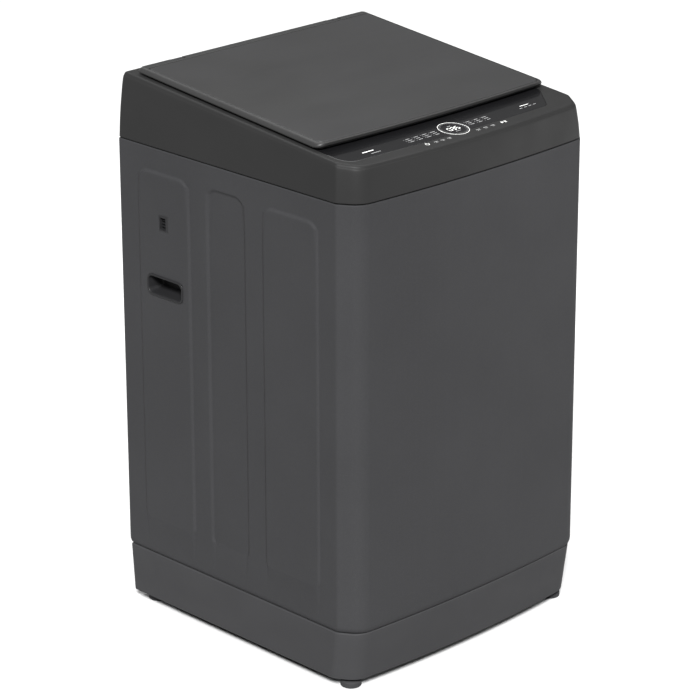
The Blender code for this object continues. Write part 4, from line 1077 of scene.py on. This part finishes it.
def drum():
    """Stainless basket: pillowed wall punched with rows of holes, on a dished floor."""
    columns, steps = 64, 6
    pitch = 2 * math.pi * DRUM_R / columns
    z0, z1 = DRUM_LO.z + 0.030, DRUM_HI.z - 0.016
    rows = int((z1 - z0) / (pitch * 1.1))
    surface = Surface()

    def wall(a, z):
        """Wall radius with a soft pillow in each cell, the pillows fading to a plain band at top and bottom.
        """
        u, v = a * columns / (2 * math.pi), (z - z0) / (z1 - z0) * rows
        body = max(0.0, min(1.0, (z - z0) / 0.02, (z1 - z) / 0.02))
        pillow = 0.0009 * math.cos(math.pi * (2 * u)) * math.cos(math.pi * 2 * v) * body
        r = DRUM_R - 0.0015 - pillow
        return polar(r, a, z)

    hole = 0.14
    for j in range(rows):
        for i in range(columns):
            shift = 0.5 if j % 2 else 0.0
            u0 = (i + shift) * 2 * math.pi / columns
            du = 2 * math.pi / columns
            za, zb = z0 + (z1 - z0) * j / rows, z0 + (z1 - z0) * (j + 1) / rows
            square = []
            for k in range(4 * 4):
                side, t = divmod(k, 4)
                t /= 4
                x, y = ((t, 0), (1, t), (1 - t, 1), (0, 1 - t))[side]
                square.append((x, y))
            outer, inner = [], []
            for x, y in square:
                outer.append(wall(u0 + du * x, za + (zb - za) * y))
                ang = math.atan2(y - 0.5, x - 0.5)
                x, y = 0.5 + hole * math.cos(ang), 0.5 + hole * math.sin(ang)
                inner.append(wall(u0 + du * x, za + (zb - za) * y))
            surface.grid([outer, inner])
    n = columns * 2 * 4
    smooth_wall = DRUM_R - 0.0015
    for low, high in ((DRUM_LO.z + 0.012, z0), (z1, DRUM_HI.z)):
        heights = [low + (high - low) * k / 3 for k in range(4)]
        surface.grid([[wall(a, z) for a in angles(n)] for z in heights])
    floor = [(smooth_wall, DRUM_LO.z + 0.012), (smooth_wall - 0.0012, DRUM_LO.z + 0.007),
             (smooth_wall - 0.0045, DRUM_LO.z + 0.0030), (smooth_wall - 0.012, DRUM_LO.z + 0.0012),
             (0.150, DRUM_LO.z + 0.0010), (0.0165, DRUM_LO.z + 0.0010)]
    surface.turn(smooth(floor, 3), steps=n)
    surface.piece("drum_basket", "drum_steel", "drum_body", ["drum"], wall=0.0010, sharp=40, mods=False)


def rings():
    """Balance ring on the drum, with its moulded pads, and splash ring on the tub, with its clips."""
    inner, low, high = RING_HI.x - 0.033, RING_LO.z, RING_HI.z
    profile = smooth([(inner, low), (inner - 0.0004, low + 0.012), (inner, low + 0.024),
                      (inner + 0.0022, low + 0.0298), (inner + 0.0080, low + 0.0318),
                      (RING_HI.x - 0.0080, low + 0.0318),
                      (RING_HI.x - 0.0018, low + 0.0296), (RING_HI.x, low + 0.024), (RING_HI.x, low)], 3)

    def pads(r, a, h):
        bump = max(0.0, math.cos(12 * a)) ** 24
        if h > low + 0.0312:
            h -= 0.0014 * bump
        return r, h

    surface = Surface()
    surface.turn(profile + [(inner, low)], steps=288, wave=pads)
    surface.piece("balance_ring_moulding", "ring_plastic", "drum_body", ["balance_ring"], sharp=45)

    lo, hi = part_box("tub_ring")
    bore = TUB_R - 0.058
    profile = [(bore, lo.z + 0.001), (TUB_R, lo.z + 0.0001), (TUB_R, lo.z + 0.0056),
               (TUB_R - 0.003, lo.z + 0.0068)]
    profile += smooth([(TUB_R - 0.026, hi.z - 0.0005), (TUB_R - 0.030, hi.z), (bore + 0.005, hi.z),
                       (bore + 0.001, hi.z - 0.0015), (bore, hi.z - 0.004)], 3)

    surface = Surface()
    surface.turn(profile + [profile[0]], steps=192)
    for k in range(16):
        a = 2 * math.pi * (k + 0.5) / 16
        across = Vector((-math.sin(a), math.cos(a)))
        out = Vector((math.cos(a), math.sin(a)))
        loop = []
        for u, back in ((-0.006, 0.012), (0.006, 0.012), (0.006, 0.0005), (-0.006, 0.0005)):
            loop.append(out * (TUB_R - back) + across * u)
        surface.loft([[upright(p, z) for p in loop] for z in (lo.z + 0.0030, lo.z + 0.0105)])
    surface.piece("splash_ring", "ring_plastic", "tub", ["tub_ring"], sharp=45)


def pulsator():
    """Wash plate with three lobes, small studs and its cap."""
    edge = DRUM_R - 0.057
    low = DRUM_LO.z + 0.005
    top = DRUM_LO.z + 0.036

    def surface_height(r, a):
        share = min(max((r - 0.030) / (edge - 0.042), 0.0), 1.0)
        h = low + 0.010 + (top - low - 0.010) * (1 - share) ** 1.5 if r > 0.030 else top
        rise = math.sin(math.pi * min(max((r - 0.030) / (edge - 0.040), 0.0), 1.0))
        lobe = max(0.0, math.cos(1.5 * a)) ** 4 + max(0.0, -math.cos(1.5 * a)) ** 4
        return h + 0.019 * rise * lobe

    steps, radial = 192, 44
    rows = []
    for k in range(radial + 1):
        r = 0.0085 + (edge - 0.010 - 0.0085) * k / radial
        rows.append([polar(r, a, surface_height(r, a)) for a in angles(steps)])
    for r, z in ((edge - 0.006, low + 0.0092), (edge - 0.002, low + 0.0066), (edge, low + 0.0030),
                 (edge, low), (0.0085, low)):
        rows.append([polar(r, a, z) for a in angles(steps)])
    rows.append(rows[0])
    surface = Surface()
    surface.grid(rows)
    surface.piece("pulsator_plate", "pulsator_plastic", "agitator", ["pulsator"], sharp=50)

    studs = Surface()
    for k in range(6):
        for m in range(5):
            a = 2 * math.pi * (k + 0.5) / 6 + math.radians(5.0) * (m - 2)
            for r in (0.105, 0.122, 0.139):
                z = surface_height(r, a) - 0.0009
                studs.turn([(1e-5, z + 0.0012), (0.0017, z + 0.0012), (0.0024, z + 0.0006),
                            (0.0024, z - 0.0010)], (r * math.cos(a), r * math.sin(a)), 10)
    studs.piece("pulsator_studs", "filter_plastic", "agitator", sharp=40, mods=False)

    lo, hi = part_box("pulsator_cap")
    r = hi.x
    profile = smooth([(1e-5, hi.z), (0.010, hi.z - 0.0002), (0.0165, hi.z - 0.0014), (0.0215, hi.z - 0.0042),
                      (r, lo.z + 0.0024), (r, lo.z)], 4) + [(1e-5, lo.z)]
    surface = Surface()
    surface.turn(profile, steps=64)
    surface.piece("pulsator_badge", "drum_steel", "agitator", ["pulsator_cap"], sharp=45)


def lint_filters():
    """Filter cassettes: a rounded case with a fine lattice over its window."""
    for tag, sign in (("left", -1), ("right", 1)):
        node = f"lint_filter_{tag}"
        lo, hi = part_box(node)
        soften(node, "filter_plastic", 0.0022)
        inner = hi.x if sign < 0 else lo.x
        bars = Surface()
        z0, z1 = lo.z + 0.016, hi.z - 0.030
        x0, x1 = sorted((inner + sign * 0.0002, inner - sign * 0.0006))
        for k in range(6):
            y = -0.021 + 0.0084 * k
            bars.loft(box_rings((x0, y - 0.0006, z0), (x1, y + 0.0006, z1), 0.0003, "Z", 2))
        for k in range(22):
            z = z0 + (z1 - z0) * k / 21
            bars.loft(box_rings((x0, -0.0216, z - 0.0006), (x1, 0.0216, z + 0.0006), 0.0003, "Y", 2))
        bars.piece(f"{node}_lattice", "ring_plastic", "drum_body", sharp=40, mods=False)


# ---------------------------------------------------------------- fittings that keep their CAD shape
def soften(node, finish, width):
    """The CAD shape with its flat faces joined up and its edges rounded."""
    bm = bmesh.new()
    bm.from_mesh(frame["nodes"][node].data)
    bmesh.ops.remove_doubles(bm, verts=bm.verts, dist=1e-5)
    bmesh.ops.dissolve_limit(bm, angle_limit=math.radians(1.0), verts=bm.verts, edges=bm.edges)
    mesh = bpy.data.meshes.new(node + "_part")
    bm.to_mesh(mesh)
    bm.free()
    return dress(node + "_part", mesh, finish, NODE_BODY[node], [node], bevel=width, sharp=32.0)


def plain_fittings():
    """Pieces whose CAD shape is right: rounded edges and a proper finish."""
    parts = {"rear_panel": ("panel_steel", 0.0003), "drain_outlet": ("black_plastic", 0.0006),
             "cord_gland": ("rubber", 0.0006), "control_board_case": ("board_case", 0.0010),
             "dispenser_housing": ("valve_plastic", 0.0006), "detergent_drawer": ("drawer_plastic", 0.0006),
             "inlet_valve_cold": ("valve_plastic", 0.0006), "inlet_valve_hot": ("valve_plastic", 0.0006),
             "lid_bumper_left": ("rubber", 0.0005), "lid_bumper_right": ("rubber", 0.0005),
             "hinge_left": ("black_plastic", 0.0006), "hinge_right": ("black_plastic", 0.0006),
             "outer_tub": ("tub_plastic", 0.0012), "drum_hub": ("cast_alloy", 0.0008),
             "spin_tube": ("zinc_steel", 0.0004), "drive_shaft": ("zinc_steel", 0.0006),
             "motor_rotor": ("zinc_steel", 0.0008), "motor_stator": ("stator_core", 0.0015),
             "bearing_housing": ("cast_alloy", 0.0012), "drain_pump": ("black_plastic", 0.0015)}
    for end in ("front_left", "front_right", "rear_left", "rear_right"):
        parts["base_bracket_" + end] = ("zinc_steel", 0.0004)
        parts["hanger_brace_" + end] = ("zinc_steel", 0.0004)
        parts["suspension_rod_" + end] = ("zinc_steel", 0.0004)
        parts["suspension_cup_" + end] = ("black_plastic", 0.0006)
    for node, (finish, width) in parts.items():
        soften(node, finish, width)


def rear_details():
    """Louvre hoods, fixing screws and pressed ribs of the rear panel."""
    lo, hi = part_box("rear_panel")
    y = hi.y
    hoods = Surface()
    for i in range(5):
        z = CAB_Z + 0.060 + 0.022 * i
        rows = []
        for k in range(9):
            a = math.pi * k / 8
            rows.append([Vector((x, y + 0.0035 * math.sin(a), z + 0.0030 + 0.0060 * math.cos(a) * 0.9))
                         for x in (-0.046, -0.043, 0.0, 0.043, 0.046)])
        hoods.grid(rows, closed=False)
    hoods.piece("rear_louvres", "panel_steel", "cabinet_body", wall=0.0006, sharp=50)

    ribs = Surface()
    for x in (-0.150, -0.050, 0.050, 0.150):
        outline = rounded_rect(x, (lo.z + hi.z) / 2 + 0.040, 0.022, 0.480, 0.0105, 10)
        levels = [(0.0, 0.0), (0.0012, 0.0007), (0.0028, 0.0019), (0.0046, 0.0024), (0.0070, 0.0026)]
        ribs.grid([[Vector((p.x, y + h, p.y)) for p in offset_loop(outline, inset)] for inset, h in levels])
        ribs.area(offset_loop(outline, 0.0070), [], lambda p: Vector((p.x, y + 0.0026, p.y)))
    ribs.piece("rear_ribs", "panel_steel", "cabinet_body", sharp=50)

    screws = Surface()
    spots = []
    for z in (lo.z + 0.018, (lo.z + hi.z) / 2, hi.z - 0.018):
        spots += [(lo.x + 0.010, z), (hi.x - 0.010, z)]
    spots += [(-0.080, lo.z + 0.014), (0.080, lo.z + 0.014), (-0.080, hi.z - 0.014), (0.080, hi.z - 0.014)]
    for x, z in spots:
        head = smooth([(0.0045, y + 0.0001), (0.0044, y + 0.0009), (0.0034, y + 0.0018),
                       (0.0016, y + 0.0022)], 3)
        cross = [(0.0016, y + 0.0010), (1e-5, y + 0.0008)]
        screws.turn(head + cross, (x, z), 24, "Y")
    screws.piece("rear_screws", "zinc_steel", "cabinet_body", sharp=45, mods=False)


def drawer_front():
    """Pull lip on the detergent drawer."""
    lo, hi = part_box("detergent_drawer")
    lip = Surface()
    cx, z = (lo.x + hi.x) / 2, hi.z - 0.012
    section = [(0.0002, -0.004), (-0.0014, -0.0035), (-0.0024, -0.001), (-0.0024, 0.002), (-0.0012, 0.004),
               (0.0002, 0.0045)]
    along = [(-0.030, 0.0), (-0.027, 0.9), (-0.014, 1.0), (0.0, 1.0), (0.014, 1.0), (0.027, 0.9),
             (0.030, 0.0)]
    rows = []
    for dy, dz in section:
        rows.append([Vector((cx + dx, lo.y + dy * k, z + dz)) for dx, k in along])
    lip.grid(rows, closed=False)
    lip.piece("drawer_pull", "drawer_plastic", "drawer", sharp=60)


# ---------------------------------------------------------------- stage
def area_light(name, at, aim, size, watts):
    lamp = bpy.data.lights.new(name, "AREA")
    lamp.shape = "RECTANGLE"
    lamp.size, lamp.size_y = size
    lamp.energy = watts
    obj = bpy.data.objects.new(name, lamp)
    obj.location = at
    obj.rotation_mode = "QUATERNION"
    obj.rotation_quaternion = (Vector(aim) - Vector(at)).to_track_quat("-Z", "Y")
    bpy.context.scene.collection.objects.link(obj)


def studio():
    """Pale floor, white surroundings and soft boxes."""
    scene = bpy.context.scene
    world = bpy.data.worlds.new("studio")
    world.use_nodes = True
    world.node_tree.nodes["Background"].inputs["Color"].default_value = (1.0, 1.0, 1.0, 1.0)
    world.node_tree.nodes["Background"].inputs["Strength"].default_value = 0.2
    scene.world = world
    scene.view_settings.view_transform = "Standard"
    mesh = bpy.data.meshes.new("floor")
    edge = 14.0
    corners = [(-edge, -edge, 0), (edge, -edge, 0), (edge, edge, 0), (-edge, edge, 0)]
    mesh.from_pydata(corners, [], [(0, 1, 2, 3)])
    floor = bpy.data.objects.new("floor", mesh)
    f = Finish("floor", (168, 168, 168), 0.9)
    f.tint(f.noise(2.0, 2.0), (164, 164, 164), 0.5)
    mesh.materials.append(f.done())
    scene.collection.objects.link(floor)
    key = bpy.data.lights.new("key", "SUN")
    key.energy = 12.5
    key.angle = math.radians(16.0)
    obj = bpy.data.objects.new("key", key)
    obj.rotation_mode = "QUATERNION"
    obj.rotation_quaternion = Vector((0.55, 0.54, -0.64)).to_track_quat("-Z", "Y")
    scene.collection.objects.link(obj)
    area_light("overhead", (0.4, 0.6, 3.2), (0.0, 0.0, 0.9), (2.4, 2.4), 100.0)
    area_light("right_front", (2.3, -1.7, 0.6), (0.1, -0.2, 0.3), (1.2, 1.2), 24.0)
    area_light("back_fill", (-0.6, 3.2, 1.8), (0.0, 0.0, 0.6), (2.4, 2.0), 18.0)


def camera():
    """Long lens at the front left, a little above the lid."""
    azimuth, elevation, roll = (math.radians(v) for v in (-44.8294, 20.6171, -0.0812))
    back = Vector((math.sin(azimuth) * math.cos(elevation), -math.cos(azimuth) * math.cos(elevation),
                   math.sin(elevation)))
    right = Vector((0, 0, 1)).cross(back).normalized()
    up = back.cross(right)
    turned_right = right * math.cos(roll) + up * math.sin(roll)
    turned_up = up * math.cos(roll) - right * math.sin(roll)
    data = bpy.data.cameras.new("camera")
    data.sensor_width = 36.0
    data.lens = 159.85
    data.shift_x = -0.00521
    data.shift_y = -0.00095
    obj = bpy.data.objects.new("camera", data)
    obj.matrix_world = Matrix.Translation((-3.6702, -3.6832, 2.4441)) @ Matrix(
        (turned_right, turned_up, back)).transposed().to_4x4()
    bpy.context.scene.collection.objects.link(obj)
    bpy.context.scene.camera = obj


camera()
studio()
cabinet()
side_fittings()
base_skirt()
feet()
top_cover()
control_panel()
lid()
drum()
rings()
pulsator()
lint_filters()
plain_fittings()
rear_details()
drawer_front()
